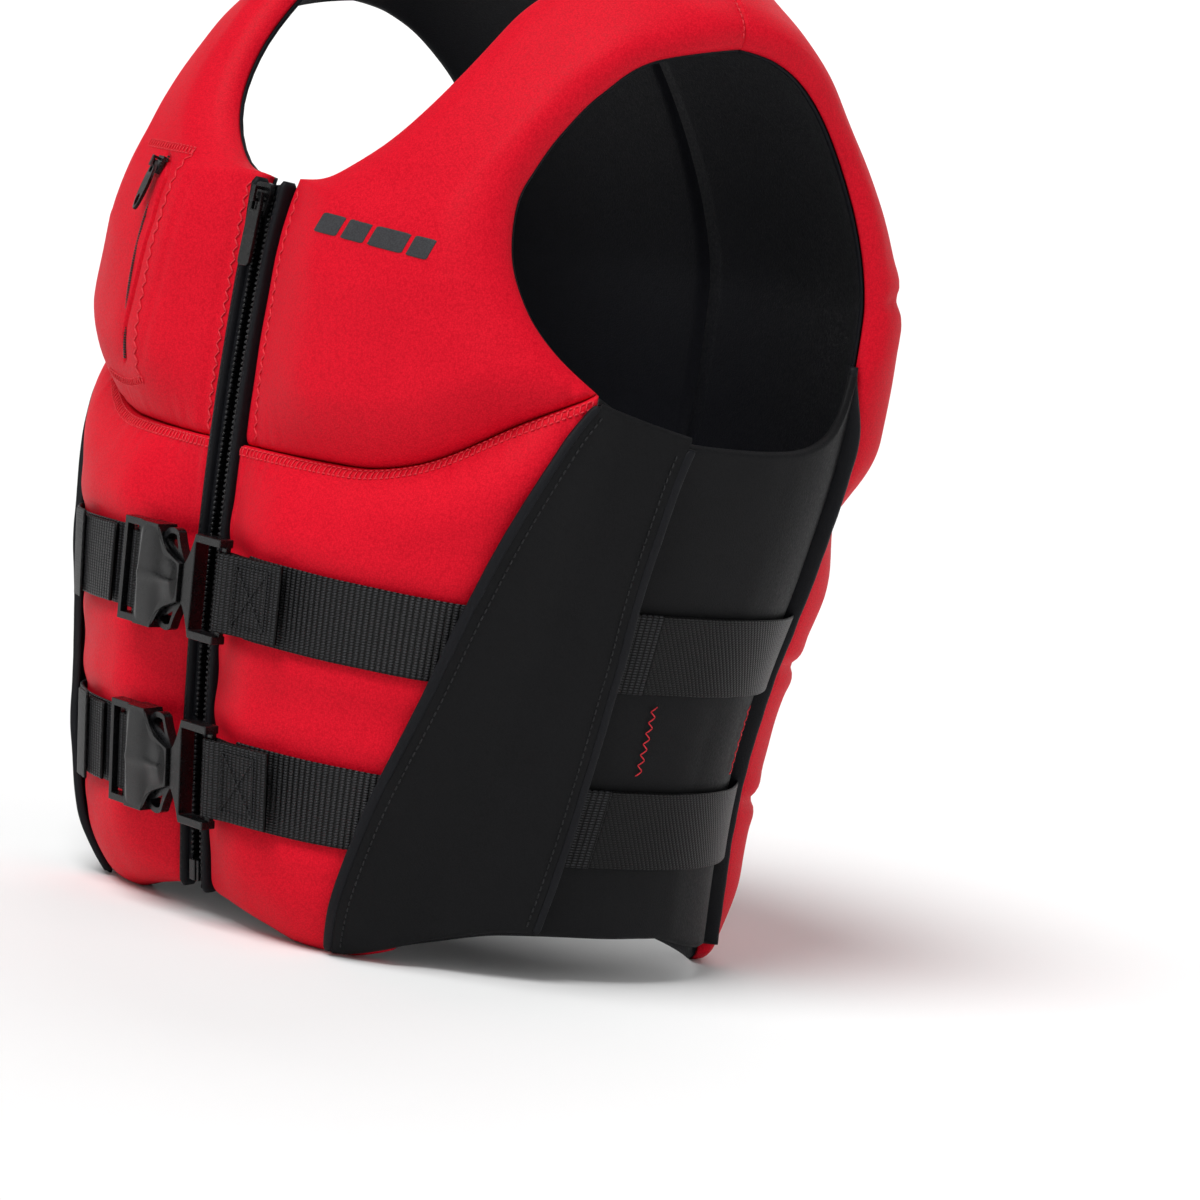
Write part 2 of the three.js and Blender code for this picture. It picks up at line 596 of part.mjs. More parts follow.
add('main_pull', 'zip_plastic', onSlider(pullPlate(9, 34, [4.4, 7.4], 2, 2.5), ARCH_Z, PULL_AXIS_D));

// ---- pocket zip ----
const bagMargin = [() => POCKET_BAG[0], 1 - POCKET_BAG[1], POCKET_BAG[2], 1 - POCKET_BAG[3]];
add('pocket_bag', 'lining', mirrored(
  layer(chest, [6, 6], lower(chestTop, 5.8), lower(chestTop, 4.2), bagMargin)));
const COIL_WIDTH = 3;
add('pocket_coil', 'zip_plastic', pocketBar(COIL_WIDTH, -0.9, 0.5, 0));
const POCKET_SLIDER_LENGTH = 9;
const pocketRest = POCKET_SWEEP - (POCKET_SLIDER_LENGTH / 2 + 1) / pocketRadius;
const onPocket = (geometry) => welded(geometry).applyMatrix4(pocketFrame(pocketRest));
const pocketBlock = (x, y, z, up, out) => onPocket(new THREE.BoxGeometry(x, y, z).translate(0, up, out));
add('pocket_slider', 'zip_metal', join(
  pocketBlock(6.4, POCKET_SLIDER_LENGTH, 1.6, 0, 2.2),
  pocketBlock(1.8, 1.3, 3.2, 2.6, 4.4),
  pocketBlock(1.8, 1.3, 3.2, -1.6, 4.4),
  pocketBlock(1.8, 5.5, 1.2, 0.5, 6.5)));
function pocketPull() {
  const shape = new THREE.Shape();
  shape.absellipse(0, -11.9, 3.3, 13, 0, Math.PI * 2, false);
  const eye = new THREE.Path();
  eye.absellipse(0, -20, 1.7, 3, 0, Math.PI * 2, true);
  const window = new THREE.Path();
  window.moveTo(-1.4, -1.1);
  window.lineTo(1.4, -1.1);
  window.lineTo(1.4, -5.6);
  window.lineTo(-1.4, -5.6);
  shape.holes.push(eye, window);
  return new THREE.ExtrudeGeometry(shape, { depth: 1.6, bevelEnabled: false, curveSegments: 8 });
}
add('pocket_pull', 'zip_metal', onPocket(pocketPull().translate(0, 0.5, 3.7)));

// ---- straps ----
const START_LIFT = 1.2;          // the strap lies lower where the plug slides over it
const START_T = [17, 23];
const strapDepth = (t, h) => outerFace(t, h)
  + mix(START_LIFT, WEB_LIFT, clamp((t - START_T[0]) / (START_T[1] - START_T[0]), 0, 1));
const STRAP_END = 3.2;           // degrees short of the back panel's side

function strapPiece(height, start, cells) {
  return bent(cells, 2, 1, (u, v, w) => {
    const h = height + (v - 0.5) * WEB_WIDTH;
    const t = mix(start(h), backSide(h) - STRAP_END, u);
    return outside(t, h, strapDepth(t, h) + w * WEB);
  });
}

// ---- buckles ----
// A point in a buckle's own frame: x across, y up, n outwards from its back.
function buckleFrame(height) {
  const climb = Math.asin((height - ZIP_CENTRE_Z) / ZIP_RADIUS);
  const out = new THREE.Vector3(0, -Math.cos(climb), Math.sin(climb));
  const up = new THREE.Vector3(0, Math.sin(climb), Math.cos(climb));
  const frame = new THREE.Matrix4().makeBasis(new THREE.Vector3(1, 0, 0), up, out);
  return frame.setPosition(onZip(0, height, BUCKLE_D));
}

const slabOf = (shape, low, high, segments = 5) => new THREE.ExtrudeGeometry(shape,
  { depth: high - low, bevelEnabled: false, curveSegments: segments }).translate(0, 0, low);
const boxOf = (x, y, n) => new THREE.BoxGeometry(x[1] - x[0], y[1] - y[0], n[1] - n[0])
  .translate((x[0] + x[1]) / 2, (y[0] + y[1]) / 2, (n[0] + n[1]) / 2);

const BODY_LEFT = -26;           // where the buckle's closed body begins
const WAIST = -12;               // where its sides begin to draw in
const MOUTH = 8;
const LADDER_LEFT = -42;

function receptacle() {
  const half = BUCKLE_HALF;
  const outline = new THREE.Shape();
  outline.moveTo(BODY_LEFT, -half);
  outline.lineTo(WAIST, -half);
  outline.bezierCurveTo(WAIST + 1, -half + 10, MOUTH - 8, -12, MOUTH, -9);
  outline.lineTo(MOUTH, 9);
  outline.bezierCurveTo(MOUTH - 8, 12, WAIST + 1, half - 10, WAIST, half);
  outline.lineTo(BODY_LEFT, half);
  const body = slabOf(outline, 0, BUCKLE_THICK);
  const socket = boxOf([BODY_LEFT + 4, MOUTH + 8], [-20.6, 20.6], [BUCKLE_PLATE, BUCKLE_THICK - BUCKLE_PLATE]);
  const rails = [-1, 1].map((side) => boxOf([LADDER_LEFT, BODY_LEFT + 1],
    side < 0 ? [-half, -half + 3.4] : [half - 3.4, half], [2.6, 9]));
  const edgeBar = boxOf([LADDER_LEFT, LADDER_LEFT + 2.4], [-half, half], [5, 9]);
  const webBar = boxOf([-35.6, -32.4], [-half + 1, half - 1], [3, 5.6]);
  return join(cut(body, socket), ...rails, edgeBar, webBar);
}

const NECK_X = 9.2;              // the plug's body starts here
const FRAME_X = [17, 37];
function plug() {
  const half = BUCKLE_HALF;
  const outline = new THREE.Shape();
  outline.moveTo(NECK_X, -9);
  outline.quadraticCurveTo(13, -12, FRAME_X[0], -half);
  outline.lineTo(FRAME_X[1], -half);
  outline.lineTo(FRAME_X[1], half);
  outline.lineTo(FRAME_X[0], half);
  outline.quadraticCurveTo(13, 12, NECK_X, 9);
  const base = slabOf(outline, 1.6, 9.4);
  const window = boxOf([FRAME_X[0] + 0.5, FRAME_X[1] - 3.4], [-20.6, 20.6], [0, 12]);
  const relief = boxOf([FRAME_X[1] - 3.4, FRAME_X[1] + 1], [-20.6, 20.6], [5.6, 12]);
  const under = boxOf([FRAME_X[1] - 3.4, FRAME_X[1] + 1], [-20.6, 20.6], [0, 2.6]);
  const tongue = boxOf([-16, NECK_X + 1], [-3.6, 3.6], [3.2, 7.8]);
  return join(cut(base, window, relief, under), tongue);
}

const ARM_ROOT_X = NECK_X - 0.4;
const ARM_TIP_X = -20;
function arm() {
  const outline = new THREE.Shape();
  outline.moveTo(ARM_ROOT_X, 5.2);
  outline.lineTo(ARM_ROOT_X, 9);
  outline.quadraticCurveTo(4, 14, 1, 22.6);
  outline.quadraticCurveTo(-1, 24.4, -4, 24.2);
  outline.quadraticCurveTo(-9.6, 23.6, -11, 19.6);
  outline.lineTo(ARM_TIP_X, 18);
  outline.lineTo(ARM_TIP_X, 14.8);
  outline.lineTo(-12, 15.2);
  outline.quadraticCurveTo(0, 13, 4, 5.2);
  const eye = new THREE.Path();
  eye.moveTo(-0.4, 21);
  eye.quadraticCurveTo(-6, 23, -8.4, 18.4);
  eye.quadraticCurveTo(-3, 17.4, 2, 14.4);
  eye.quadraticCurveTo(0.6, 18, -0.4, 21);
  outline.holes.push(eye);
  return slabOf(outline, 3.2, 7.8, 4);
}

// A ribbon of webbing along a path of [x, n] points in a buckle's frame.
function ribbon(points, steps, width, thick) {
  const path = new THREE.SplineCurve(points.map(([x, n]) => new THREE.Vector2(x, n)));
  return bent(steps, 1, 1, (u, v, w) => {
    const centre = path.getPoint(u);
    const heading = path.getTangent(u);
    const off = (w - 0.5) * thick;
    return new THREE.Vector3(centre.x - heading.y * off, (v - 0.5) * width, centre.y + heading.x * off);
  });
}

// The plug's strap, doubled round the frame's end bar and sewn back on itself.
const LOOP_HIGH = [[72, 2.9], [60, 4], [48, 4.9], [41, 6.6], [36, 7.2], [32.4, 6.2], [31.9, 4.1], [32.6, 1.9],
  [36, 1.3], [41, 1.7], [48, 2.6], [60, 2.0], [72, 0.95]];
// The adjusting webbing: up through the ladder, over its bar and out under the edge bar.
const TAIL_LOOP = [[-47, 0.1], [-40, 0.6], [-33, 1.1], [-30.2, 3], [-30.8, 6.2], [-34, 7.3],
  [-37.4, 6.2], [-38.6, 3.7], [-43, 3], [-50, 2.9]];

const LOOP_THICK = 1.5;
const BUCKLE_WEB = WEB_WIDTH - 1;
['upper', 'lower'].forEach((level, row) => {
  const height = STRAP_H[row];
  const frame = buckleFrame(height);
  const set = (geometry) => welded(geometry).applyMatrix4(frame);
  const start = (h) => angleAt(STRAP_START_X, h);
  const strapSolid = strapPiece(height, start, 18);
  add(`left_${level}_strap`, 'webbing', strapSolid);
  add(`right_${level}_strap`, 'webbing', mirrored(strapSolid));
  add(`${level}_receptacle`, 'buckle_plastic', set(receptacle()));
  add(`${level}_plug`, 'buckle_plastic', set(plug()));
  add(`${level}_latch_top`, 'buckle_plastic', set(arm()));
  add(`${level}_latch_bottom`, 'buckle_plastic', set(turned(welded(arm()).applyMatrix4(
    new THREE.Matrix4().makeScale(1, -1, 1)))));
  add(`${level}_plug_webbing`, 'webbing', set(ribbon(LOOP_HIGH, 24, BUCKLE_WEB, LOOP_THICK)));
  add(`${level}_ladder_webbing`, 'webbing', set(ribbon(TAIL_LOOP, 18, BUCKLE_WEB, LOOP_THICK)));
  const tailDepth = (t, h) => strapDepth(t, h) + WEB + 0.8;
  add(`${level}_strap_tail`, 'webbing', mirrored(bent(4, 2, 1, (u, v, w) => {
    const h = height + (v - 0.5) * BUCKLE_WEB;
    const t = mix(angleAt(TAIL_X[row][0], h), angleAt(TAIL_X[row][1], h), u);
    return outside(t, h, tailDepth(t, h) + w * WEB);
  })));
  add(`${level}_strap_keeper`, 'webbing', mirrored(bent(1, 3, 1, (u, v, w) => {
    const h = height + (v - 0.5) * (WEB_WIDTH + 4);
    const t = mix(angleAt(KEEPER_X[row], h), angleAt(KEEPER_X[row] + 12, h), u);
    return outside(t, h, tailDepth(t, h) + WEB + 0.7 + w * 1.2);
  })));
});

// The origin sits under the middle of the jacket's box.
const box = new THREE.Box3().setFromObject(jacket);
jacket.position.y = -(box.min.y + box.max.y) / 2;

export default jacket;
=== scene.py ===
"""Neoprene life jacket: the finished surfaces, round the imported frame.

Every sewn panel lies on one torso surface, written with an angle t round the body (degrees,
0 at the middle of the front, 90 at the wearer's left) and a height h up the surface. Lengths
in the shape functions are millimetres; a mesh is written in metres.
"""

import math

import bmesh
import bpy
import numpy as np
from bpy.props import FloatProperty, FloatVectorProperty, PointerProperty
from mathutils import Matrix, Vector


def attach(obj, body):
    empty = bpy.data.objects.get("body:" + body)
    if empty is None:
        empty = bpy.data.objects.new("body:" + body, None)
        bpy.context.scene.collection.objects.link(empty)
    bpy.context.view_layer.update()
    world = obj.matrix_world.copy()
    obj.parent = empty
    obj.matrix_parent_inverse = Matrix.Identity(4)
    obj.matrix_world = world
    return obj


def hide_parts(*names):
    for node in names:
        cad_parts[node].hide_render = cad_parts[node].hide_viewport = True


bl_info = {
    "name": "Life Jacket",
    "version": (1, 0, 0),
    "blender": (4, 5, 0),
    "location": "View3D > Sidebar > Life Jacket",
    "description": "Builds a neoprene life jacket round its packed frame",
    "category": "Add Mesh",
}

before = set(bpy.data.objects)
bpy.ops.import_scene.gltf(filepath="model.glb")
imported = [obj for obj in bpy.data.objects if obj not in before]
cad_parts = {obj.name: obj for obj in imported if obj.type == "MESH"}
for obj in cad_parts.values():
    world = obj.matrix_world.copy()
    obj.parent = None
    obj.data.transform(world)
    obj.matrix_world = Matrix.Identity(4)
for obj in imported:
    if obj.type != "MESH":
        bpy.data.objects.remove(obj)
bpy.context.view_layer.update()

MM = 0.001
SHIFT_Y = 10.107582  # the frame's origin stands this far behind the torso's own middle
SIDES = {"left": 1, "right": -1}

# ---- the torso ----
DOME_START, DOME_RISE = 320, 168
SIDE_ROUND, FRONT_ROUND, BACK_ROUND = 2.35, 1.6, 1.45
ZIP_RADIUS, ZIP_CENTRE_Z, FRONT_DEPTH = 1270, 210, 139.2
HALF_WIDTH = [[0, 158], [80, 160], [140, 170], [200, 180], [260, 185], [340, 188], [490, 188]]
BACK_DEPTH = [[0, 107], [80, 104], [140, 107], [200, 119], [260, 128], [340, 128], [490, 124]]
SQUARENESS = [[0, 2.15], [80, 2.2], [140, 2.25], [200, 2.4], [260, 2.6], [340, 2.7], [490, 2.5]]

# ---- panel edges, as [t, h] unless said otherwise ----
HEM = [[0, 15], [5, 13], [16, 6], [24, 0.5], [30, 0], [36, 2], [48, 12], [62, 20], [90, 22]]
BACK_HEM = [[115, 20], [131, 10], [143, -0.8], [180, -0.8]]
SEAM = [[0, 225], [19, 226], [28, 228], [38, 237], [51, 258], [64, 276]]
NECK_FRONT = [[7, 354], [15.5, 378], [22.5, 409], [29.5, 446], [38, 468], [54, 496], [90.03, 515.4]]
ARMHOLE_FRONT = [[55, 291], [48, 308], [43, 330], [41.2, 355], [42.9, 372], [46.5, 391],
                 [53, 412], [65, 433], [90.03, 447]]
BELLY_SIDE = [[5, 41], [44, 45], [84, 50.5], [134, 55], [178, 58.5], [219, 61.5], [254, 63.5],
              [276, 64]]  # [h, t], as are the next three
WING_FRONT = [[4, 32], [44, 36.5], [84, 40.9], [134, 46.2], [178, 50.2], [219, 54.9], [254, 60.7],
              [274, 65.4]]
WING_REAR = [[19, 66.5], [60, 70.2], [98, 72.5], [146, 73.8], [194, 75.3], [232, 78.2], [262, 81.5]]
BACK_SIDE = [[4, 136], [60, 134], [130, 131], [200, 129.4], [262, 129], [300, 129.4]]
ARMHOLE_FLOOR = [[60, 281], [66, 273], [74, 263], [82, 258.5], [95, 257], [108, 261], [120, 275],
                 [128.4, 300]]
ARMHOLE_BACK = [[129.4, 300], [132, 330], [132.4, 365], [131, 389], [125.4, 410], [114.7, 430],
                [102, 442], [89.97, 447]]
NECK_BACK = [[180, 441], [172.9, 444], [163.2, 454], [151, 472], [135, 493], [106, 513],
             [89.97, 515.4]]
BACK_SEAM_H, NECK_CORNER_H = 226, 349
BELLY_FOOT, BACK_FOOT = 42, 136
NECK_BEND = 0.6
CHEST_BEND = 0.4
BACK_BEND = 0.35

# ---- depths outwards from the torso ----
LINER = (0.3, 3.1)
PAD_BASE = 3.25
EDGE, CROWN, SHOULDER, BACK_CROWN, SIDE_TOP = 11, 27, 15, 26, 5.3
NECK_ROLL, SEAM_ROLL, ZIP_ROLL, SIDE_ROLL = 6.5, 3.4, 2.2, 3  # how far the pads' edges fall
GAP = 0.06  # between neighbouring panels
WEB, WEB_WIDTH, WEB_LIFT = 1.7, 38, 2.2
WING_LIFT, WING_THICK = 5.1, 3.6
STRAP_H = {"upper": 160, "lower": 75}
STRAP_START_X = 44
STRAP_END = 2.3
PATCH_T = 7.5  # how far the coarse webbing shows behind the wing, in degrees
TAIL_X = {"upper": (54, 104), "lower": (54, 86)}
KEEPER_X = {"upper": 84, "lower": 68}

# ---- front zip, pocket and buckles ----
ZIP_TOP, ZIP_FOOT, ZIP_BOX_TOP = 345, 18, 28
PANEL_X = 11.7
POCKET_TOP, POCKET_FOOT = (0.36, 0.47), (0.345, 0.1)
BUCKLE_D = 24.9
LOOP_HIGH = [[76, 1.1], [70, 2.0], [60, 3.2], [48, 4.6], [41, 6.6], [36, 7.2], [32.4, 6.2], [31.9, 4.1],
             [32.6, 1.9], [36, 1.3], [41, 1.7], [48, 2.6], [56, 1.65], [62, 1.4]]
TAIL_LOOP = [[-47, 0.1], [-40, 0.6], [-33, 1.1], [-30.2, 3], [-30.8, 6.2], [-34, 7.3],
             [-37.4, 6.2], [-38.6, 3.7], [-43, 3], [-50, 2.9]]

PADS = {}  # each sewn pad's grid, kept for what is sewn on it


# ---------------------------------------------------------------- small mathematics
def mix(a, b, s):
    """The value a share s of the way from a to b."""
    return a + (b - a) * s


def ease(x, start, end):
    """0 up to start, 1 from end, and 3s^2 - 2s^3 in between."""
    s = np.clip((x - start) / (end - start), 0, 1)
    return s * s * (3 - 2 * s)


def swell(distance, reach):
    """Sine of a quarter turn: 0 at an edge, 1 at the given reach from it."""
    return np.sin(np.clip(distance / reach, 0, 1) * np.pi / 2)


def rounding(distance, reach):
    """How far a rolled edge has fallen: 1 at the edge and 0 from the given reach on, a
    quarter circle, 1 - (1 - s^2)^(1/2) of the share s that is left to the edge."""
    left = np.clip(1 - distance / reach, 0, 1)
    return 1 - np.sqrt(1 - left**2)


def near(value, centre, width):
    """1 at the centre, falling on both sides as exp(-s^2) of the distance in widths."""
    return np.exp(-((value - centre) / width) ** 2)


def lengths(points):
    """The distance walked along a line of points, from 0."""
    return np.concatenate([[0], np.cumsum(np.linalg.norm(np.diff(points, axis=0), axis=1))])


def profile(points):
    """A smooth value through [x, y] points: Hermite cubics whose slopes are the differences
    of the neighbours, flat beyond both ends."""
    x, y = np.array(points, float).T
    before, after = np.r_[0, np.arange(len(x) - 1)], np.r_[np.arange(1, len(x)), len(x) - 1]
    slope = (y[after] - y[before]) / (x[after] - x[before])

    def at(value):
        value = np.clip(value, x[0], x[-1])
        i = np.clip(np.searchsorted(x, value) - 1, 0, len(x) - 2)
        span = x[i + 1] - x[i]
        s = (value - x[i]) / span
        rise = (2 * s - 3) * s * s
        bend = (1 - s) * slope[i] - s * slope[i + 1]
        return y[i] * (1 + rise) - y[i + 1] * rise + span * s * (1 - s) * bend

    return at


def spline(points):
    """A curve through the points, evenly timed: each stretch is the Catmull-Rom cubic of
    its two ends and their neighbours."""
    points = np.array(points, float)
    last = len(points) - 1

    def at(s):
        place = np.clip(np.asarray(s, float), 0, 1) * last
        i = np.minimum(place.astype(int), last - 1)
        w = (place - i)[..., None]
        p0, p1, p2, p3 = (points[np.clip(i + k, 0, last)] for k in (-1, 0, 1, 2))
        v0, v1 = (p2 - p0) / 2, (p3 - p1) / 2
        return ((2 * p1 - 2 * p2 + v0 + v1) * w + (3 * p2 - 3 * p1 - 2 * v0 - v1)) * w * w + v0 * w + p1

    return at


half_width, back_depth, squareness = profile(HALF_WIDTH), profile(BACK_DEPTH), profile(SQUARENESS)
hem, back_hem, seam = profile(HEM), profile(BACK_HEM), profile(SEAM)
belly_side, wing_front, wing_rear = profile(BELLY_SIDE), profile(WING_FRONT), profile(WING_REAR)
back_side, armhole_floor = profile(BACK_SIDE), profile(ARMHOLE_FLOOR)


def torso(t, h):
    """A superellipse at each height, |x/a|^n + |y/b|^n = 1 with n the squareness, which
    closes in over the shoulders as (1 - s^p)^(1/p) of the climb s."""
    climb = np.clip((h - DOME_START) / DOME_RISE, 0, np.pi / 2 - 1e-4)
    rise = np.sin(climb)
    z = np.where(h <= DOME_START, h, DOME_START + DOME_RISE * rise)
    across, forward = np.sin(np.radians(t)), np.cos(np.radians(t))
    power = 2 / squareness(z)

    def narrowing(p):
        return (1 - rise**p) ** (1 / p)

    arc = ZIP_RADIUS**2 - (np.minimum(z, DOME_START) - ZIP_CENTRE_Z) ** 2
    front = (np.sqrt(arc) - ZIP_RADIUS + FRONT_DEPTH) * narrowing(FRONT_ROUND)
    depth = np.where(forward > 0, front, back_depth(z) * narrowing(BACK_ROUND))
    x = half_width(z) * narrowing(SIDE_ROUND) * np.sign(across) * np.abs(across) ** power
    return np.stack([x, -depth * np.sign(forward) * np.abs(forward) ** power, z], -1)


def normal_of(around, up):
    """The unit normal of a surface from its two directions."""
    out = np.cross(around, up)
    return out / np.maximum(np.linalg.norm(out, axis=-1, keepdims=True), 1e-12)


def facing(t, h):
    """The torso's normal, from the differences over 0.8 degrees and 2 mm."""
    return normal_of(torso(t + 0.4, h) - torso(t - 0.4, h), torso(t, h + 1) - torso(t, h - 1))


def outside(t, h, d):
    """The torso's point moved d outwards along its normal, never below the floor."""
    t, h, d = np.broadcast_arrays(*(np.asarray(a, float) for a in (t, h, d)))
    place = torso(t, h) + facing(t, h) * d[..., None]
    place[..., 2] = np.maximum(place[..., 2], 0)
    return place


def angle_at(x, h):
    """The angle t at which the front of the torso is x from the middle."""
    return np.degrees(np.arcsin((x / half_width(h)) ** (squareness(h) / 2)))


def on_zip(x, h, d):
    """A point on the arc of the front closure: x across, at height h, d outwards."""
    x, h, d = np.broadcast_arrays(*(np.asarray(a, float) for a in (x, h, d)))
    climb = np.arcsin((h - ZIP_CENTRE_Z) / ZIP_RADIUS)
    reach = ZIP_RADIUS + d
    return np.stack([x, ZIP_RADIUS - FRONT_DEPTH - reach * np.cos(climb),
                     ZIP_CENTRE_Z + reach * np.sin(climb)], -1)


def ripple(x, y, size):
    """A gentle unevenness of cloth: five crossing sine waves of about the given size."""
    waves = ((1, 0.3, 0), (0.55, -0.85, 1.9), (-0.75, 0.65, 4.1), (1.6, 1.1, 2.6), (0.2, 1.7, 5.3))
    return sum(np.sin(2 * np.pi * (a * x + b * y) / size + c) for a, b, c in waves) / len(waves)


# ---------------------------------------------------------------- meshes
def grid_quads(rows, cols, ring=False):
    """The four-sided faces of a grid of points, closed across its columns for a ring."""
    index = np.arange(rows * cols).reshape(rows, cols)
    if ring:
        index = np.concatenate([index, index[:, :1]], 1)
    return np.stack([index[:-1, :-1], index[1:, :-1], index[1:, 1:], index[:-1, 1:]], -1).reshape(-1, 4)


def sheet(high, low, leave=None):
    """Two grids of points joined round their rim into one closed skin. leave says which
    points of the rim have no wall between them."""
    rows, cols = high.shape[:2]
    count = rows * cols
    index = np.arange(count).reshape(rows, cols)
    rim = np.concatenate([index[:, 0], index[-1, 1:], index[-2::-1, -1], index[0, -2:0:-1]])
    after = np.roll(rim, -1)
    walls = np.stack([after, rim, rim + count, after + count], -1)
    if leave is not None:
        bare = leave.reshape(-1)
        walls = walls[~(bare[rim] & bare[after])]
    quads = grid_quads(rows, cols)
    points = np.concatenate([high.reshape(-1, 3), low.reshape(-1, 3)])
    return points, [np.concatenate([quads, quads[:, ::-1] + count, walls])]


def tube(rings):
    """Closed sections one after the other, (stations, points, 3), capped at both ends."""
    rows, cols = rings.shape[:2]
    caps = np.stack([np.arange(cols), np.arange(cols)[::-1] + (rows - 1) * cols])
    return rings.reshape(-1, 3), [grid_quads(rows, cols, True), caps]


def joined(*parts):
    """Several meshes as one."""
    points, faces, start = [], [], 0
    for place, polygons in parts:
        points.append(place)
        faces += [p + start for p in polygons]
        start += len(place)
    return np.concatenate(points), faces


def mirrored(part):
    """The mesh with x turned round, its faces turned back outwards."""
    points, faces = part
    return points * [-1, 1, 1], [f[:, ::-1] for f in faces]


def on_side(part, sign):
    """A part of the left side as it is, or its mirror image for the right."""
    return mirrored(part) if sign < 0 else part


def enclosed(points, faces):
    """Six times the volume that the faces enclose, by the divergence theorem."""
    total = 0.0
    for polygons in faces:
        corner = points[polygons]
        for k in range(1, corner.shape[1] - 1):
            total += np.einsum("ij,ij->", corner[:, 0], np.cross(corner[:, k], corner[:, k + 1]))
    return total


def superellipse(count, half_x, half_y, power):
    """Points of |x/a|^n + |y/b|^n = 1, going round."""
    a = np.arange(count) * 2 * np.pi / count
    s, c = np.sin(a), np.cos(a)
    return np.stack([half_x * np.sign(c) * np.abs(c) ** (2 / power),
                     half_y * np.sign(s) * np.abs(s) ** (2 / power)], -1)


def tape_section(width, thick, across=12):
    """The outline of a woven tape: two flat faces and half-round edges, as [across, out]."""
    half, edge = width / 2, thick / 2
    flat = np.linspace(-half + edge, half - edge, across)
    turn = np.radians([-60, -20, 20, 60])
    right = np.stack([half - edge + edge * np.cos(turn), edge * np.sin(turn)], -1)
    face = np.stack([flat, np.full(across, edge)], -1)
    return np.concatenate([face * [1, -1], right, face[::-1], -right])


def capsules(starts, ends, outs, radius, bow, sides=6):
    """One arched pin for each pair of ends: at s along it the centre stands bow sin(pi s)
    out and the radius is r (1 - (2s - 1)^6)^(1/2)."""
    s = np.array([0.02, 0.14, 0.36, 0.64, 0.86, 0.98])
    angle = np.arange(sides) * 2 * np.pi / sides
    reach = ends - starts
    ahead = reach / np.maximum(np.linalg.norm(reach, axis=1, keepdims=True), 1e-9)
    side = np.cross(ahead, outs)
    rise = bow * np.sin(np.pi * s)
    centre = starts[:, None] + reach[:, None] * s[:, None] + outs[:, None] * rise[:, None]
    width = radius * np.sqrt(1 - (2 * s - 1) ** 6)
    off = side[:, None, None] * np.cos(angle)[:, None] + outs[:, None, None] * np.sin(angle)[:, None]
    rows = centre[:, :, None] + off * width[:, None, None]
    count = len(s) * sides
    quads = grid_quads(len(s), sides, True)
    caps = np.stack([np.arange(sides), np.arange(sides)[::-1] + (len(s) - 1) * sides])
    shift = (np.arange(len(starts)) * count)[:, None, None]
    return rows.reshape(-1, 3), [(quads + shift).reshape(-1, 4), (caps + shift).reshape(-1, sides)]


def make(name, part, material, body="vest", uv=None):
    """Puts a mesh in the scene, in metres, with its faces turned outwards."""
    points, faces = part
    if enclosed(points, faces) < 0:
        faces = [f[:, ::-1] for f in faces]
    world = (points + [0, SHIFT_Y, 0]) * MM
    mesh = bpy.data.meshes.new(name)
    mesh.from_pydata(world.tolist(), [], [f for polygons in faces for f in polygons.tolist()])
    mesh.polygons.foreach_set("use_smooth", np.full(len(mesh.polygons), True))
    if uv is not None:
        corner = np.zeros(len(mesh.loops), np.int32)
        mesh.loops.foreach_get("vertex_index", corner)
        layer = mesh.uv_layers.new(name="UVMap")
        layer.data.foreach_set("uv", (uv[corner] * MM).astype(np.float32).ravel())
    mesh.materials.append(material)
    mesh.update()
    obj = bpy.data.objects.new(name, mesh)
    bpy.context.scene.collection.objects.link(obj)
    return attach(obj, body)


def finished(obj, slot, *nodes):
    """Hides the frame's nodes that the piece stands for and gives the piece back; slot is not used."""
    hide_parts(*nodes)
    return obj


def softened(node, body, material, width=0.5, segments=3):
    """A moulded piece: the frame's own solid, its doubles merged, flat faces made whole and
    every sharp edge rounded to the given radius in millimetres."""
    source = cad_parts[node]
    work = bmesh.new()
    work.from_mesh(source.data)
    bmesh.ops.remove_doubles(work, verts=work.verts, dist=2e-6)
    bmesh.ops.dissolve_limit(work, angle_limit=math.radians(1.5), verts=work.verts, edges=work.edges)
    mesh = bpy.data.meshes.new(node + "_moulded")
    work.to_mesh(mesh)
    work.free()
    mesh.materials.clear()
    mesh.materials.append(material)
    mesh.polygons.foreach_set("use_smooth", np.full(len(mesh.polygons), True))
    obj = bpy.data.objects.new(node + "_moulded", mesh)
    bpy.context.scene.collection.objects.link(obj)
    bevel = obj.modifiers.new("Rounded edges", "BEVEL")
    bevel.width = width * MM * bpy.context.scene.jacket_sizes.rounding
    bevel.segments, bevel.limit_method = segments, "ANGLE"
    bevel.angle_limit = math.radians(32)
    weight = obj.modifiers.new("Flat faces", "WEIGHTED_NORMAL")
    weight.keep_sharp = False
    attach(obj, body)
    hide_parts(node)
    return obj


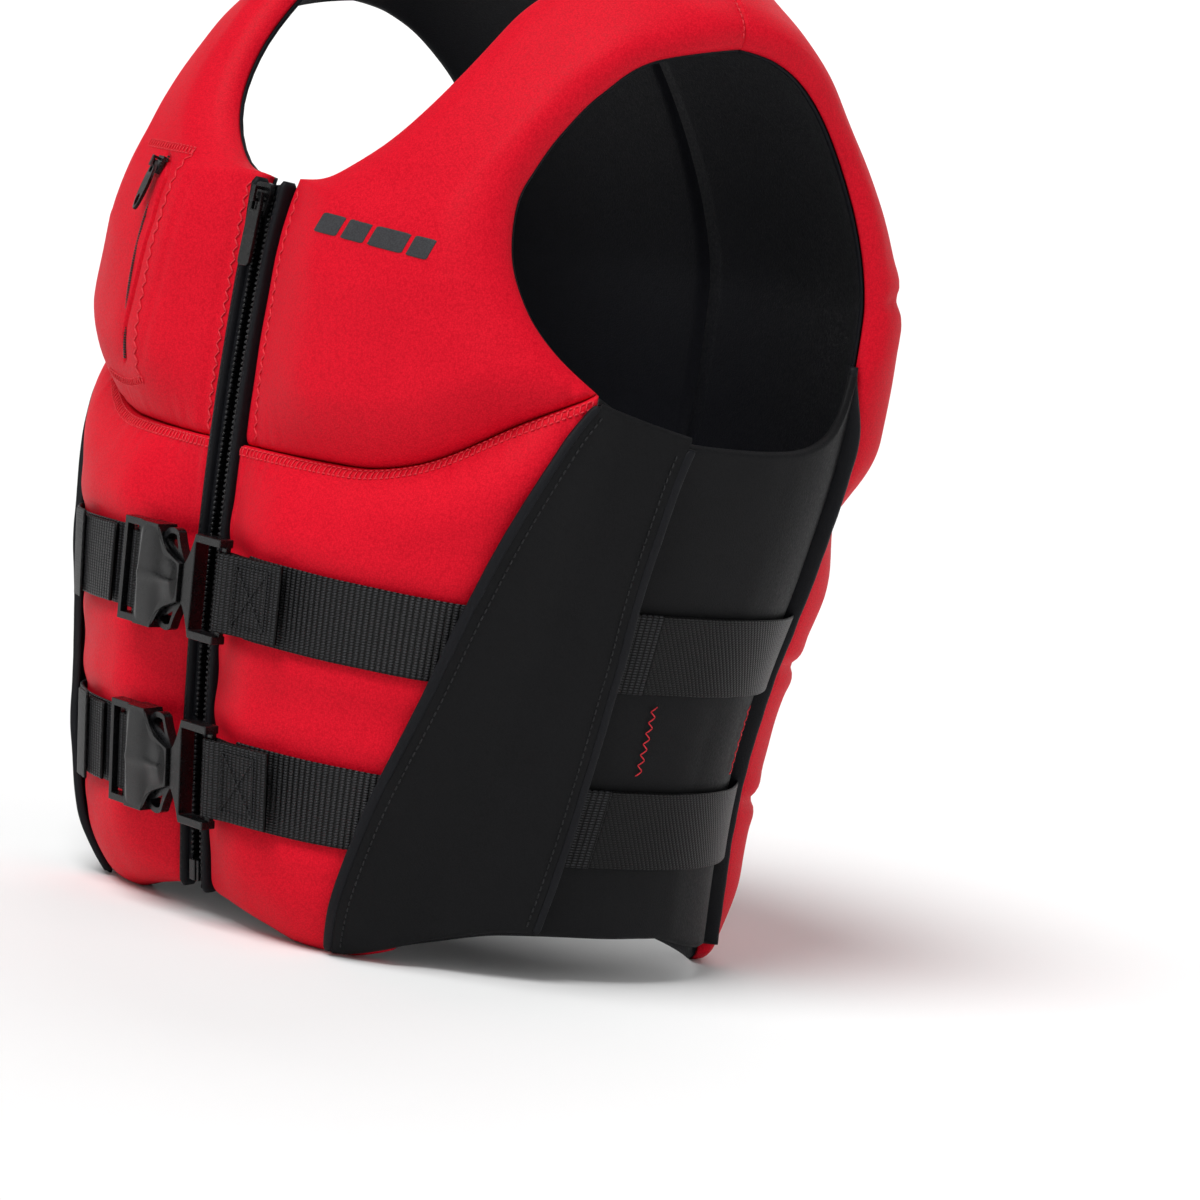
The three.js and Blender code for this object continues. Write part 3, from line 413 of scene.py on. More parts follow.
# ---------------------------------------------------------------- materials
class Nodes:
    """A small hand for wiring one node tree."""

    def __init__(self, tree):
        self.tree = tree

    def add(self, kind, inputs=(), **settings):
        node = self.tree.nodes.new(kind)
        for key, value in settings.items():
            setattr(node, key, value)
        for key, value in dict(inputs).items():
            if isinstance(value, bpy.types.NodeSocket):
                self.tree.links.new(value, node.inputs[key])
            else:
                node.inputs[key].default_value = value
        return node

    def math(self, operation, a, b=0.0, clamp=False):
        return self.add("ShaderNodeMath", {0: a, 1: b}, operation=operation, use_clamp=clamp).outputs[0]

    def noise(self, vector, scale, detail=2.0, roughness=0.5):
        return self.add("ShaderNodeTexNoise", {"Vector": vector, "Scale": scale, "Detail": detail,
                                               "Roughness": roughness}).outputs["Fac"]

    def blend(self, factor, a, b):
        return self.add("ShaderNodeMix", {0: factor, 6: a, 7: b}, data_type="RGBA").outputs[2]

    def range(self, value, low, high, to_low=0.0, to_high=1.0):
        return self.add("ShaderNodeMapRange", {"Value": value, "From Min": low, "From Max": high,
                                               "To Min": to_low, "To Max": to_high}).outputs[0]


def group(name, inputs, outputs):
    """A node group with named sockets, and the hand that wires it."""
    tree = bpy.data.node_groups.new(name, "ShaderNodeTree")
    for label, kind, value in inputs:
        socket = tree.interface.new_socket(label, in_out="INPUT", socket_type="NodeSocket" + kind)
        if value is not None:
            socket.default_value = value
    for label, kind in outputs:
        tree.interface.new_socket(label, in_out="OUTPUT", socket_type="NodeSocket" + kind)
    hand = Nodes(tree)
    return tree, hand, tree.nodes.new("NodeGroupInput").outputs, tree.nodes.new("NodeGroupOutput").inputs


def knit_group():
    """Stretch jersey: fine loops in rows, broken up by grain, and soft large mottling."""
    tree, n, given, out = group(
        "Knit face",
        [("Vector", "Vector", None), ("Loop size", "Float", 0.0011),
         ("Ground", "Color", (0, 0, 0, 1)), ("Loop", "Color", (1, 1, 1, 1))],
        [("Color", "Color"), ("Height", "Float"), ("Roughness", "Float")])
    scale = n.math("DIVIDE", 1.0, given["Loop size"])
    loops = n.add("ShaderNodeTexVoronoi", {"Vector": given["Vector"], "Scale": scale, "Randomness": 0.75},
                  feature="F1").outputs["Distance"]
    grain = n.noise(given["Vector"], n.math("MULTIPLY", scale, 0.55), 3.0, 0.65)
    mottle = n.noise(given["Vector"], 34.0, 3.0)
    crest = n.math("SUBTRACT", 1.0, loops, clamp=True)
    tone = n.math("ADD", n.math("MULTIPLY", crest, 0.45), n.math("MULTIPLY", grain, 0.55))
    tone = n.math("ADD", n.range(tone, 0.34, 0.74), n.range(mottle, 0.3, 0.7, -0.07, 0.07), clamp=True)
    n.tree.links.new(n.blend(tone, given["Ground"], given["Loop"]), out["Color"])
    n.tree.links.new(n.math("ADD", crest, n.math("MULTIPLY", grain, 0.7)), out["Height"])
    n.tree.links.new(n.range(grain, 0.3, 0.7, 0.5, 0.68), out["Roughness"])
    return tree


def weave_group():
    """Woven tape on a map in metres, u along it: ribs of the lengthwise yarns, each broken
    into short crowns that step by half a crown from rib to rib."""
    tree, n, given, out = group(
        "Tape weave",
        [("Vector", "Vector", None), ("Rib", "Float", 0.0018),
         ("Crown", "Float", 0.0026), ("Lean", "Float", 0.5)],
        [("Crest", "Float"), ("Height", "Float"), ("Fray", "Float")])
    split = n.add("ShaderNodeSeparateXYZ", {0: given["Vector"]}).outputs
    rib = n.math("DIVIDE", split["Y"], given["Rib"])
    number = n.math("FLOOR", rib)
    across = n.math("SINE", n.math("MULTIPLY", n.math("FRACT", rib), math.pi))
    step = n.math("ADD", n.math("DIVIDE", split["X"], given["Crown"]),
                  n.math("MULTIPLY", number, given["Lean"]))
    along = n.math("ABSOLUTE", n.math("SINE", n.math("MULTIPLY", step, math.pi)))
    crest = n.math("MULTIPLY", n.math("POWER", across, 0.6), n.math("POWER", along, 0.7))
    fray = n.noise(given["Vector"], 1400.0, 2.0)
    n.tree.links.new(crest, out["Crest"])
    n.tree.links.new(n.math("ADD", crest, n.math("MULTIPLY", fray, 0.25)), out["Height"])
    n.tree.links.new(fray, out["Fray"])
    return tree


def moulding_group():
    """Moulded plastic and enamel: fine spark texture, faint scratches and rubbed high edges."""
    tree, n, given, out = group(
        "Moulding",
        [("Vector", "Vector", None), ("Pointiness", "Float", 0.5),
         ("Base", "Color", (0, 0, 0, 1)), ("Rubbed", "Color", (1, 1, 1, 1))],
        [("Color", "Color"), ("Height", "Float"), ("Roughness", "Float")])
    spark = n.noise(given["Vector"], 2600.0, 2.0)
    cloud = n.noise(given["Vector"], 120.0, 3.0)
    stretched = n.add("ShaderNodeMapping", {"Vector": given["Vector"], "Rotation": (0.3, 0.5, 0.7),
                                            "Scale": (3000.0, 260.0, 900.0)}).outputs[0]
    scratch = n.range(n.noise(stretched, 1.0, 1.0), 0.68, 0.74)
    edge = n.range(given["Pointiness"], 0.53, 0.62)
    rubbed = n.math("ADD", n.math("MULTIPLY", edge, n.range(cloud, 0.35, 0.65)),
                    n.math("MULTIPLY", scratch, 0.35), clamp=True)
    n.tree.links.new(n.blend(rubbed, given["Base"], given["Rubbed"]), out["Color"])
    n.tree.links.new(spark, out["Height"])
    n.tree.links.new(n.math("ADD", n.range(cloud, 0.3, 0.7, -0.06, 0.06),
                            n.range(spark, 0.3, 0.7, 0.2, 0.32)), out["Roughness"])
    return tree


GROUPS, MADE = {}, {}


def shared(name):
    """The node group of that name, made when it is first asked for."""
    makers = {"Knit face": knit_group, "Tape weave": weave_group, "Moulding": moulding_group}
    if name not in GROUPS:
        GROUPS[name] = makers[name]()
    return GROUPS[name]


def started(name, **shader):
    """A new material with its hand, its shader and the constants set on the shader."""
    made = bpy.data.materials.new(name)
    made.use_nodes = True
    n = Nodes(made.node_tree)
    principled = made.node_tree.nodes["Principled BSDF"]
    for label, value in shader.items():
        principled.inputs[label.replace("_", " ")].default_value = value
    return made, n, principled.inputs


def bump(n, height, strength, distance):
    """A normal from a height, raised by the given distance in metres."""
    return n.add("ShaderNodeBump", {"Height": height, "Strength": strength, "Distance": distance}).outputs[0]


def cloth(name, ground, loop, size=0.0011, depth=0.0002, **shader):
    """Knitted cloth between two colours, with loops of the given size in metres."""
    made, n, into = started(name, **shader)
    place = n.add("ShaderNodeTexCoord").outputs["Object"]
    knit = n.add("ShaderNodeGroup", node_tree=shared("Knit face"))
    n.tree.links.new(place, knit.inputs["Vector"])
    knit.inputs["Loop size"].default_value = size
    knit.inputs["Ground"].default_value = (*ground, 1)
    knit.inputs["Loop"].default_value = (*loop, 1)
    for label, to in (("Color", "Base Color"), ("Roughness", "Roughness")):
        n.tree.links.new(knit.outputs[label], into[to])
    n.tree.links.new(bump(n, knit.outputs["Height"], 0.5, depth), into["Normal"])
    return made


def tape(name, dark, light, rib, crown, lean, depth=0.0005):
    """Woven tape coloured with painted shade between its yarns and a painted highlight on their crests, from
    the dark to the light colour.
    """
    made, n, into = started(name, Roughness=0.42, Specular_IOR_Level=0.16)
    uv = n.add("ShaderNodeUVMap", uv_map="UVMap").outputs[0]
    weave = n.add("ShaderNodeGroup", node_tree=shared("Tape weave"))
    n.tree.links.new(uv, weave.inputs["Vector"])
    for label, value in (("Rib", rib), ("Crown", crown), ("Lean", lean)):
        weave.inputs[label].default_value = value
    # painted highlight on the yarn crests, broken up by the fray noise; the dark colour between the yarns is
    # painted shade
    crest_highlight = n.math("MULTIPLY", weave.outputs["Crest"], n.range(weave.outputs["Fray"], 0.2, 0.8, 0.6, 1.2))
    crest = n.range(crest_highlight, 0.45, 1.0)
    n.tree.links.new(n.blend(crest, (*dark, 1), (*light, 1)), into["Base Color"])
    n.tree.links.new(bump(n, weave.outputs["Height"], 0.8, depth), into["Normal"])
    return made


def moulded(name, base, rubbed, depth=0.00004, **shader):
    """Moulded plastic or enamel, paler where it is rubbed."""
    made, n, into = started(name, **shader)
    skin = n.add("ShaderNodeGroup", node_tree=shared("Moulding"))
    n.tree.links.new(n.add("ShaderNodeTexCoord").outputs["Object"], skin.inputs["Vector"])
    n.tree.links.new(n.add("ShaderNodeNewGeometry").outputs["Pointiness"], skin.inputs["Pointiness"])
    skin.inputs["Base"].default_value = (*base, 1)
    skin.inputs["Rubbed"].default_value = (*rubbed, 1)
    for label, to in (("Color", "Base Color"), ("Roughness", "Roughness")):
        n.tree.links.new(skin.outputs[label], into[to])
    n.tree.links.new(bump(n, skin.outputs["Height"], 0.35, depth), into["Normal"])
    return made


def thread(name, dark, light):
    """Twisted yarn: a fine noise of lighter and darker strands."""
    made, n, into = started(name, Roughness=0.55, Specular_IOR_Level=0.3)
    place = n.add("ShaderNodeTexCoord").outputs["Object"]
    strand = n.range(n.noise(place, 2200.0, 2.0), 0.35, 0.65)
    n.tree.links.new(n.blend(strand, (*dark, 1), (*light, 1)), into["Base Color"])
    n.tree.links.new(bump(n, strand, 0.4, 0.0001), into["Normal"])
    return made


def stage_paper():
    """Pale paper with faint clouds."""
    made, n, into = started("Stage paper", Specular_IOR_Level=0.09)
    grain = n.noise(n.add("ShaderNodeTexCoord").outputs["Object"], 3.0, 4.0)
    n.tree.links.new(n.blend(grain, (0.80, 0.80, 0.80, 1), (0.83, 0.83, 0.83, 1)), into["Base Color"])
    n.tree.links.new(n.range(grain, 0.3, 0.7, 0.82, 0.92), into["Roughness"])
    return made


def finish_of(name):
    """The material of that name, made when it is first asked for."""
    colours = bpy.context.scene.jacket_colours
    red, black = np.array(colours.red), np.array(colours.black)
    makers = {
        "Red neoprene": lambda: cloth("Red neoprene", red * 0.80, red * 1.12 + [0, 0.004, 0.004],
                                      0.0009, 0.00016, Specular_IOR_Level=0.09),
        "Black neoprene": lambda: cloth("Black neoprene", black * 0.7, black * 1.3, 0.0008, 0.00012,
                                        Specular_IOR_Level=0.1),
        "Edge tape": lambda: cloth("Edge tape", black * [0.45, 0.47, 0.6], black * [0.95, 1.0, 1.25], 0.0007,
                                   0.00015, Specular_IOR_Level=0.16),
        "Lining": lambda: cloth("Lining", black * [0.4, 0.42, 0.6], black * [0.8, 0.86, 1.2], 0.0009, 0.0002,
                                Specular_IOR_Level=0.12),
        # both webbings carry painted shade between the yarns and a painted highlight on their crests
        "Webbing": lambda: tape("Webbing", black * 0.08, black * 6.0, 0.0013, 0.0029, 0.0, 0.0008),
        "Twill webbing": lambda: tape("Twill webbing", black * 0.1, black * 1.3,
                                      0.0011, 0.0024, 0.25, 0.0004),
        "Buckle plastic": lambda: moulded("Buckle plastic", black * 0.45, black * 2.6, IOR=1.38),
        "Zip plastic": lambda: moulded("Zip plastic", black * 0.45, black * 2.6, IOR=1.38),
        "Zip enamel": lambda: moulded("Zip enamel", black * 0.9, (0.10, 0.10, 0.105), Metallic=0.55),
        "Red thread": lambda: thread("Red thread", red * 0.85, red * 1.2 + [0.0, 0.035, 0.035]),
        "Black thread": lambda: thread("Black thread", black * 0.4, black * 2.4),
        "Grey print": lambda: cloth("Grey print", black * 3.5, black * 7.0, 0.0008, 0.0001,
                                    Specular_IOR_Level=0.3),
        "Stage paper": stage_paper,
    }
    if name not in MADE:
        MADE[name] = makers[name]()
    return MADE[name]


# ---------------------------------------------------------------- panels
def patch(inner, outer, bottom, top):
    """A surface filled in between four edges, each a function of 0 to 1: the sum of the two
    ruled surfaces less the flat one through the corners."""
    b0, b1, t0, t1 = bottom(0.0), bottom(1.0), top(0.0), top(1.0)

    def at(u, v):
        a, b = u[..., None], v[..., None]
        ruled = mix(bottom(u), top(u), b) + mix(inner(v), outer(v), a)
        return ruled - mix(mix(b0, b1, a), mix(t0, t1, a), b)

    return at


def line(start, end):
    """The straight line between two points."""
    return lambda s: mix(np.array(start, float), np.array(end, float), np.asarray(s, float)[..., None])


def along_t(edge, t0, t1, shift=0.0):
    """The edge whose height is given at each angle, between two angles."""
    def at(s):
        t = mix(t0, t1, np.asarray(s, float))
        return np.stack([t, edge(t) + shift], -1)
    return at


def along_h(edge, h0, h1):
    """The edge whose angle is given at each height, between two heights."""
    def at(s):
        h = mix(h0, h1, np.asarray(s, float))
        return np.stack([edge(h), h], -1)
    return at


def cornered(first, second, bend):
    """Two edges one after the other, meeting in a corner at s = bend."""
    def at(s):
        s = np.asarray(s, float)
        return np.where((s < bend)[..., None], first(np.clip(s / bend, 0, 1)),
                        second(np.clip((s - bend) / (1 - bend), 0, 1)))
    return at


def parting(h):
    """How much further out the closure's sides stand near its open top."""
    return 2.2 * ease(h, 312, 346)


def zip_edge(h):
    """The angle of the front panels' edge beside the zip."""
    return angle_at(PANEL_X + parting(h), h)


SEAM_START_T, SIDE_T = 3.0, 64.0  # the front seam runs between these angles
CORNER_T = float(zip_edge(14.0))
CORNER_H = float(hem(SEAM_START_T))


def chest_panel(gap):
    """From the front seam up to the shoulder, between the zip and neck and the armhole."""
    high = [float(zip_edge(float(NECK_CORNER_H))), NECK_CORNER_H]
    return patch(
        cornered(along_h(zip_edge, seam(SEAM_START_T) + gap, NECK_CORNER_H),
                 spline([high, *NECK_FRONT]), CHEST_BEND),
        spline([[SIDE_T, seam(SIDE_T) + gap], *ARMHOLE_FRONT]),
        along_t(seam, CORNER_T, SIDE_T, gap),
        line(NECK_FRONT[-1], ARMHOLE_FRONT[-1]))


def belly_panel(gap):
    """From the hem up to the front seam, between the zip and the side panel."""
    return patch(
        along_h(zip_edge, CORNER_H, seam(SEAM_START_T) - gap),
        along_h(belly_side, float(hem(BELLY_FOOT)), seam(SIDE_T) - gap),
        along_t(hem, CORNER_T, BELLY_FOOT),
        along_t(seam, CORNER_T, SIDE_T, -gap))


def lower_back_panel(gap):
    """From the back's hem up to its seam, between the middle and the side panel."""
    foot = float(back_hem(180.0))
    return patch(
        line([180, foot], [180, BACK_SEAM_H - gap]),
        along_h(back_side, float(back_hem(BACK_FOOT)), BACK_SEAM_H - gap),
        along_t(back_hem, 180, BACK_FOOT),
        line([180, BACK_SEAM_H - gap], [float(back_side(BACK_SEAM_H)), BACK_SEAM_H - gap]))


def upper_back_panel(gap):
    """From the back's seam up to the shoulder, between the middle and neck and the armhole."""
    return patch(
        cornered(line([180, BACK_SEAM_H + gap], [180, NECK_BACK[0][1]]), spline(NECK_BACK), NECK_BEND),
        cornered(along_h(back_side, BACK_SEAM_H + gap, 300), spline(ARMHOLE_BACK), BACK_BEND),
        line([180, BACK_SEAM_H + gap], [float(back_side(BACK_SEAM_H)), BACK_SEAM_H + gap]),
        line(NECK_BACK[-1], ARMHOLE_BACK[-1]))


def chest_top(u, v, t, h):
    """Depth of the chest's skin: a crown that is lower towards the shoulder, times the
    swells in from the inner, outer and bottom edge."""
    crown = mix(CROWN, SHOULDER, swell(v - 0.3, 0.6))
    return EDGE + (crown - EDGE) * swell(u, 0.28) * swell(1 - u, 0.26) * swell(v, 0.17)


def chest_bulge(pocket):
    """The chest's depth with a steeper rise above the seam, but as drawn beside a pocket."""
    def top(u, v, t, h):
        steeper = (CROWN - EDGE) * swell(u, 0.28) * swell(1 - u, 0.26) * (swell(v, 0.125) - swell(v, 0.17))
        return chest_top(u, v, t, h) + steeper * (1 - np.exp(-((u - 0.35) / 0.15) ** 2) if pocket else 1)
    return top


def belly_top(u, v, t, h):
    """Depth of the belly's skin: a crown times the swells in from all four edges."""
    across = swell(t - CORNER_T, 13) * swell(belly_side(h) - t, 14)
    upright = swell(h - hem(t), 34) * swell(seam(t) - h, 36)
    return EDGE + 1 + (CROWN - EDGE - 1) * across * upright


def lower_back_top(u, v, t, h):
    """Depth of the lower back's skin: a crown times the swells in from all edges but the
    middle."""
    return EDGE + (BACK_CROWN - EDGE) * swell(1 - u, 0.3) * swell(v, 0.2) * swell(1 - v, 0.18)


def upper_back_top(u, v, t, h):
    """Depth of the upper back's skin: a crown that is lower towards the shoulder, times the
    swells in from the outer and bottom edge, and above the seam with the neck from it."""
    crown = mix(BACK_CROWN, SHOULDER, swell(v - 0.35, 0.6))
    near_neck = mix(1, swell(u, 0.25), np.clip((v - 0.5) / 0.1, 0, 1))
    return EDGE + (crown - EDGE) * near_neck * swell(1 - u, 0.26) * swell(v, 0.16)


def outer_face(t, h):
    """Depth of the jacket's outer face under the straps and wings."""
    past = t - belly_side(h)
    return np.where(past < 0, belly_top(0, 0, t, h), mix(EDGE + 1, SIDE_TOP, swell(past, 7)))


def spaced(count, gather=0.62, keep=()):
    """0 to 1 with the steps closer at both ends, s - g sin(2 pi s) / (2 pi), moved so that
    the values in keep are hit exactly."""
    s = np.linspace(0, 1, count)
    s = s - gather * np.sin(2 * np.pi * s) / (2 * np.pi)
    for value in keep:
        s[np.abs(s - value).argmin()] = value
    return s


class Pad:
    """One sewn pad on a grid. rolls gives, for the inner, outer, bottom and top edge, how far
    the skin falls towards the edge and over what reach, the fall a quarter ellipse; puckers
    gives the edges whose seam gathers the cloth."""

    def __init__(self, panel, top, us, vs, rolls, puckers=(), press=None):
        sizes = bpy.context.scene.jacket_sizes
        self.us, self.vs = us, vs
        u, v = np.meshgrid(us, vs, indexing="ij")
        if press is not None and "shift" in press:
            u = press["shift"](u, v)
        place = panel(u, v)
        self.t, self.h = place[..., 0], place[..., 1]
        middle = outside(self.t, self.h, EDGE)
        du = np.linalg.norm(np.diff(middle, axis=0), axis=-1)
        dv = np.linalg.norm(np.diff(middle, axis=1), axis=-1)
        left = np.pad(np.cumsum(du, 0), ((1, 0), (0, 0)))
        foot = np.pad(np.cumsum(dv, 1), ((0, 0), (1, 0)))
        self.apart = [left, left[-1] - left, foot, foot[:, -1:] - foot]
        travel = [foot, foot, left, left]
        depth = top(u, v, self.t, self.h) + sizes.unevenness / MM * ripple(left, foot, 61.0)
        for k, (fall, reach) in enumerate(rolls):
            fall = fall(v) if callable(fall) else fall
            depth = depth - fall * rounding(self.apart[k], reach)
            if k in puckers:
                gather = np.exp(-self.apart[k] / 7.5) * (1 - np.exp(-self.apart[k] / 2.2))
                gather = gather * puckers[k] * sizes.gathering
                depth = depth + gather * (ripple(travel[k], 0, 8.3) + 0.6 * ripple(travel[k], 9, 19.0))
        if press is not None:
            depth = depth - press["depth"](self, u, v)
        self.skin = outside(self.t, self.h, np.maximum(depth, PAD_BASE + 1.3))
        self.base = outside(self.t, self.h, PAD_BASE)
        self.out = normal_of(np.gradient(self.skin, axis=0), np.gradient(self.skin, axis=1))

    def grid_place(self, u, v):
        """Fractional rows and columns of (u, v)."""
        return np.interp(u, self.us, np.arange(len(self.us))), np.interp(v, self.vs, np.arange(len(self.vs)))

    def sample(self, field, row, col):
        """A field of the grid at fractional rows and columns, straight between its points."""
        i = np.clip(row.astype(int), 0, len(self.us) - 2)
        j = np.clip(col.astype(int), 0, len(self.vs) - 2)
        a, b = row - i, col - j
        if field.ndim == 3:
            a, b = a[..., None], b[..., None]
        return mix(mix(field[i, j], field[i + 1, j], a), mix(field[i, j + 1], field[i + 1, j + 1], a), b)

    def find(self, t, h):
        """The (u, v) of points given as angle and height: the nearest grid point, moved by
        the inverse of the grid's own slopes there."""
        t, h = np.broadcast_arrays(*(np.asarray(a, float) for a in (t, h)))
        i, j = np.divmod(np.argmin(((self.t.ravel() - t[..., None]) * 2.9) ** 2
                                   + (self.h.ravel() - h[..., None]) ** 2, axis=-1), len(self.vs))
        i, j = np.clip(i, 1, len(self.us) - 2), np.clip(j, 1, len(self.vs) - 2)
        ti, tj = (self.t[i + 1, j] - self.t[i - 1, j]) / 2, (self.t[i, j + 1] - self.t[i, j - 1]) / 2
        hi, hj = (self.h[i + 1, j] - self.h[i - 1, j]) / 2, (self.h[i, j + 1] - self.h[i, j - 1]) / 2
        dt, dh, area = t - self.t[i, j], h - self.h[i, j], ti * hj - tj * hi
        row, col = i + (dt * hj - tj * dh) / area, j + (ti * dh - hi * dt) / area
        return (np.interp(row, np.arange(len(self.us)), self.us),
                np.interp(col, np.arange(len(self.vs)), self.vs))

    def on(self, t, h):
        """Points and normals of the skin at angles and heights."""
        u, v = self.find(t, h)
        return self.at(u, v)

    def at(self, u, v):
        row, col = self.grid_place(u, v)
        return self.sample(self.skin, row, col), self.sample(self.out, row, col)

    def beside(self, edge, reach, count, start=0.0, end=1.0):
        """A line that runs at the given reach from an edge, between two shares of it. edge is
        0 or 1 for the inner or outer one and 2 or 3 for the bottom or top."""
        upright = edge < 2
        steps, distance = (self.vs, self.apart[0]) if upright else (self.us, self.apart[2].T)
        place = np.interp(np.linspace(start, end, count), steps, np.arange(len(steps)))
        share = reach / np.interp(place, np.arange(len(steps)), distance[-1])
        share = 1 - share if edge in (1, 3) else share
        own = (distance / np.maximum(distance[-1:], 1e-9))[:, place.astype(int)]
        cell, station = np.clip((own <= share).sum(0) - 1, 0, len(own) - 2), np.arange(count)
        across = cell + (share - own[cell, station]) / (own[cell + 1, station] - own[cell, station])
        row, col = (across, place) if upright else (place, across)
        return self.sample(self.skin, row, col), self.sample(self.out, row, col)


def thread_share():
    """The user's thickness of thread, as a share."""
    return bpy.context.scene.jacket_sizes.thread


def resampled(points, pitch):
    """Points at even steps along a line."""
    along = lengths(points)
    at = np.linspace(0, along[-1], max(3, int(along[-1] / pitch) + 1))
    return at, along


def carried(at, along, values):
    """Vectors given along a line, straight between them, at the distances asked for."""
    return np.stack([np.interp(at, along, values[:, k]) for k in range(3)], -1)


def stitches(path, pitch, fill=0.72, zigzag=0.0, radius=0.3, bow=0.28, offset=0.0, rungs=False):
    """Sewing along a line of points with their normals: running stitches that cover a share
    of the pitch, a zigzag of the given width, or rungs across it."""
    points, outs = path
    at, along = resampled(points, pitch)
    place, out = carried(at, along, points), carried(at, along, outs)
    out /= np.linalg.norm(out, axis=1, keepdims=True)
    ahead = np.gradient(place, axis=0)
    side = np.cross(ahead / np.linalg.norm(ahead, axis=1, keepdims=True), out)
    place = place + side * offset + out * 0.12
    if rungs:
        starts, ends, outer = place - side * zigzag / 2, place + side * zigzag / 2, out
    elif zigzag:
        sway = np.where(np.arange(len(place)) % 2, 0.5, -0.5)[:, None] * zigzag
        turned = place + side * sway
        starts, ends, outer = turned[:-1], turned[1:], out[:-1]
    else:
        starts, ends, outer = place[:-1], place[:-1] + np.diff(place, axis=0) * fill, out[:-1]
    return capsules(starts, ends, outer, radius * thread_share(), bow)


# ---------------------------------------------------------------- the red pads
def fall_after(bend, before, beyond, width=0.04):
    """A fall that changes smoothly where one kind of edge becomes another."""
    return lambda v: mix(before, beyond, ease(v, bend - width, bend + width))


def strap_press(h):
    """How far the straps pull the cloth in: most at their edges, where it swells beside them."""
    return sum(0.9 * near(np.abs(h - STRAP_H[row]), WEB_WIDTH / 2 - 1, 4)
               - 1.1 * near(np.abs(h - STRAP_H[row]), WEB_WIDTH / 2 + 10, 8) for row in STRAP_H)


POCKET_U = profile([[0.0, 0.342], POCKET_FOOT[::-1], POCKET_TOP[::-1], [1.0, 0.37]])
SLIT_U = 0.352  # about where the slit lies, as a share of the chest's width
SLIT_WIDTH, SLIT_DEPTH = 1.9, 2.2


def pocket_shift(u, v):
    """Slides the columns sideways so that the close ones follow the pocket's slit."""
    return u + (POCKET_U(v) - SLIT_U) * near(u, SLIT_U, 0.12) * ease(v, 0.0, 0.08) * (1 - ease(v, 0.55, 0.8))


def slit_depth(pad, u, v):
    """A narrow trough along the slit and a soft hollow round it, and a line pressed by the
    stitching on its inner side."""
    width = pad.apart[0][-1:] + 0 * u
    away = (u - POCKET_U(v)) * width
    length = ease(v, POCKET_FOOT[1] - 0.012, POCKET_FOOT[1] + 0.004) * (
        1 - ease(v, POCKET_TOP[1] - 0.004, POCKET_TOP[1] + 0.012))
    trough = SLIT_DEPTH * (1 - ease(np.abs(away), 0.9, SLIT_WIDTH + 0.5))
    return length * (trough + 0.7 * near(away, 0, 7)) + 0.5 * near(away, -21, 2.2) * length


def chest_columns(pocket):
    """The chest's columns, 0.5 mm apart for 9 mm on both sides of a pocket's slit."""
    if not pocket:
        return spaced(118)
    fine = np.linspace(-4.5, 4.5, 19) / 190 + SLIT_U
    rest = spaced(112)
    return np.sort(np.concatenate([rest[(rest < fine[0] - 0.004) | (rest > fine[-1] + 0.004)], fine]))


def zip_line_press(pad, u, v):
    """The line pressed by the stitching beside the zip."""
    beside = pad.apart[0]
    return 1.1 * near(beside, 9.0, 2.4) * (1 - ease(v, 0.34, 0.4))


def chest_pad(pocket):
    """Falls at the zip and neck, armhole, seam and shoulder; gathered along the seam."""
    press = {"depth": zip_line_press}
    if pocket:
        press = {"depth": lambda p, u, v: slit_depth(p, u, v) + zip_line_press(p, u, v), "shift": pocket_shift}
    return Pad(chest_panel(GAP), chest_bulge(pocket), chest_columns(pocket), spaced(176, 0.5, (CHEST_BEND,)),
               [(fall_after(CHEST_BEND, ZIP_ROLL, NECK_ROLL), 8), (NECK_ROLL, 9), (SEAM_ROLL, 5.5), (1.2, 3)],
               {2: 1.25}, press)


def belly_pad():
    """Falls at the zip, side, hem and seam; gathered along the seam, pressed by the straps."""
    press = {"depth": lambda p, u, v: strap_press(p.h) - 1.0}
    return Pad(belly_panel(GAP), belly_top, spaced(112), spaced(134, 0.45),
               [(ZIP_ROLL, 5), (2, 4), (6, 9), (1.6, 4)], {3: 1.25}, press)


def channel(h, level):
    """A sewn channel across a pad: a trough 2.4 deep and about 7 wide, its cloth swelling
    a little on both sides."""
    return 2.4 * near(h, level, 3.2) - 0.8 * near(np.abs(h - level), 9.0, 5.0)


BACK_CHANNELS = {"lower": (82.0, 154.0), "upper": (326.0,)}


def lower_back_pad():
    """Falls at the side, hem and seam; two channels are sewn across it."""
    press = {"depth": lambda p, u, v: sum(channel(p.h, level) for level in BACK_CHANNELS["lower"])
             * swell(p.apart[1], 16)}
    return Pad(lower_back_panel(GAP), lower_back_top, spaced(90, 0.3), spaced(116, 0.45),
               [(0, 1), (SIDE_ROLL, 5), (6, 9), (1.6, 4)], {3: 1.0}, press)


def neck_fall(pad, u, v):
    """Below the middle of the neck the fall goes by the distance from that point."""
    below = v < NECK_BEND - 1e-9
    middle = pad.apart[2][:, np.abs(pad.vs - NECK_BEND).argmin()][:, None]
    fallen = rounding(np.hypot(pad.apart[0], middle - pad.apart[2]), 9)
    return np.where(below, NECK_ROLL * fallen, 0) + sum(
        channel(pad.h, level) for level in BACK_CHANNELS["upper"]) * swell(pad.apart[1], 16) * below


def upper_back_pad():
    """Falls at the neck, armhole, seam and shoulder; one channel is sewn across it."""
    return Pad(upper_back_panel(GAP), upper_back_top, spaced(90, 0.35), spaced(176, 0.4, (NECK_BEND,)),
               [(lambda v: np.where(v < NECK_BEND - 1e-9, 0, NECK_ROLL), 9),
                (fall_after(BACK_BEND, SIDE_ROLL, NECK_ROLL), 9), (SEAM_ROLL, 5.5), (1.2, 3)],
               {2: 1.0}, {"depth": neck_fall})


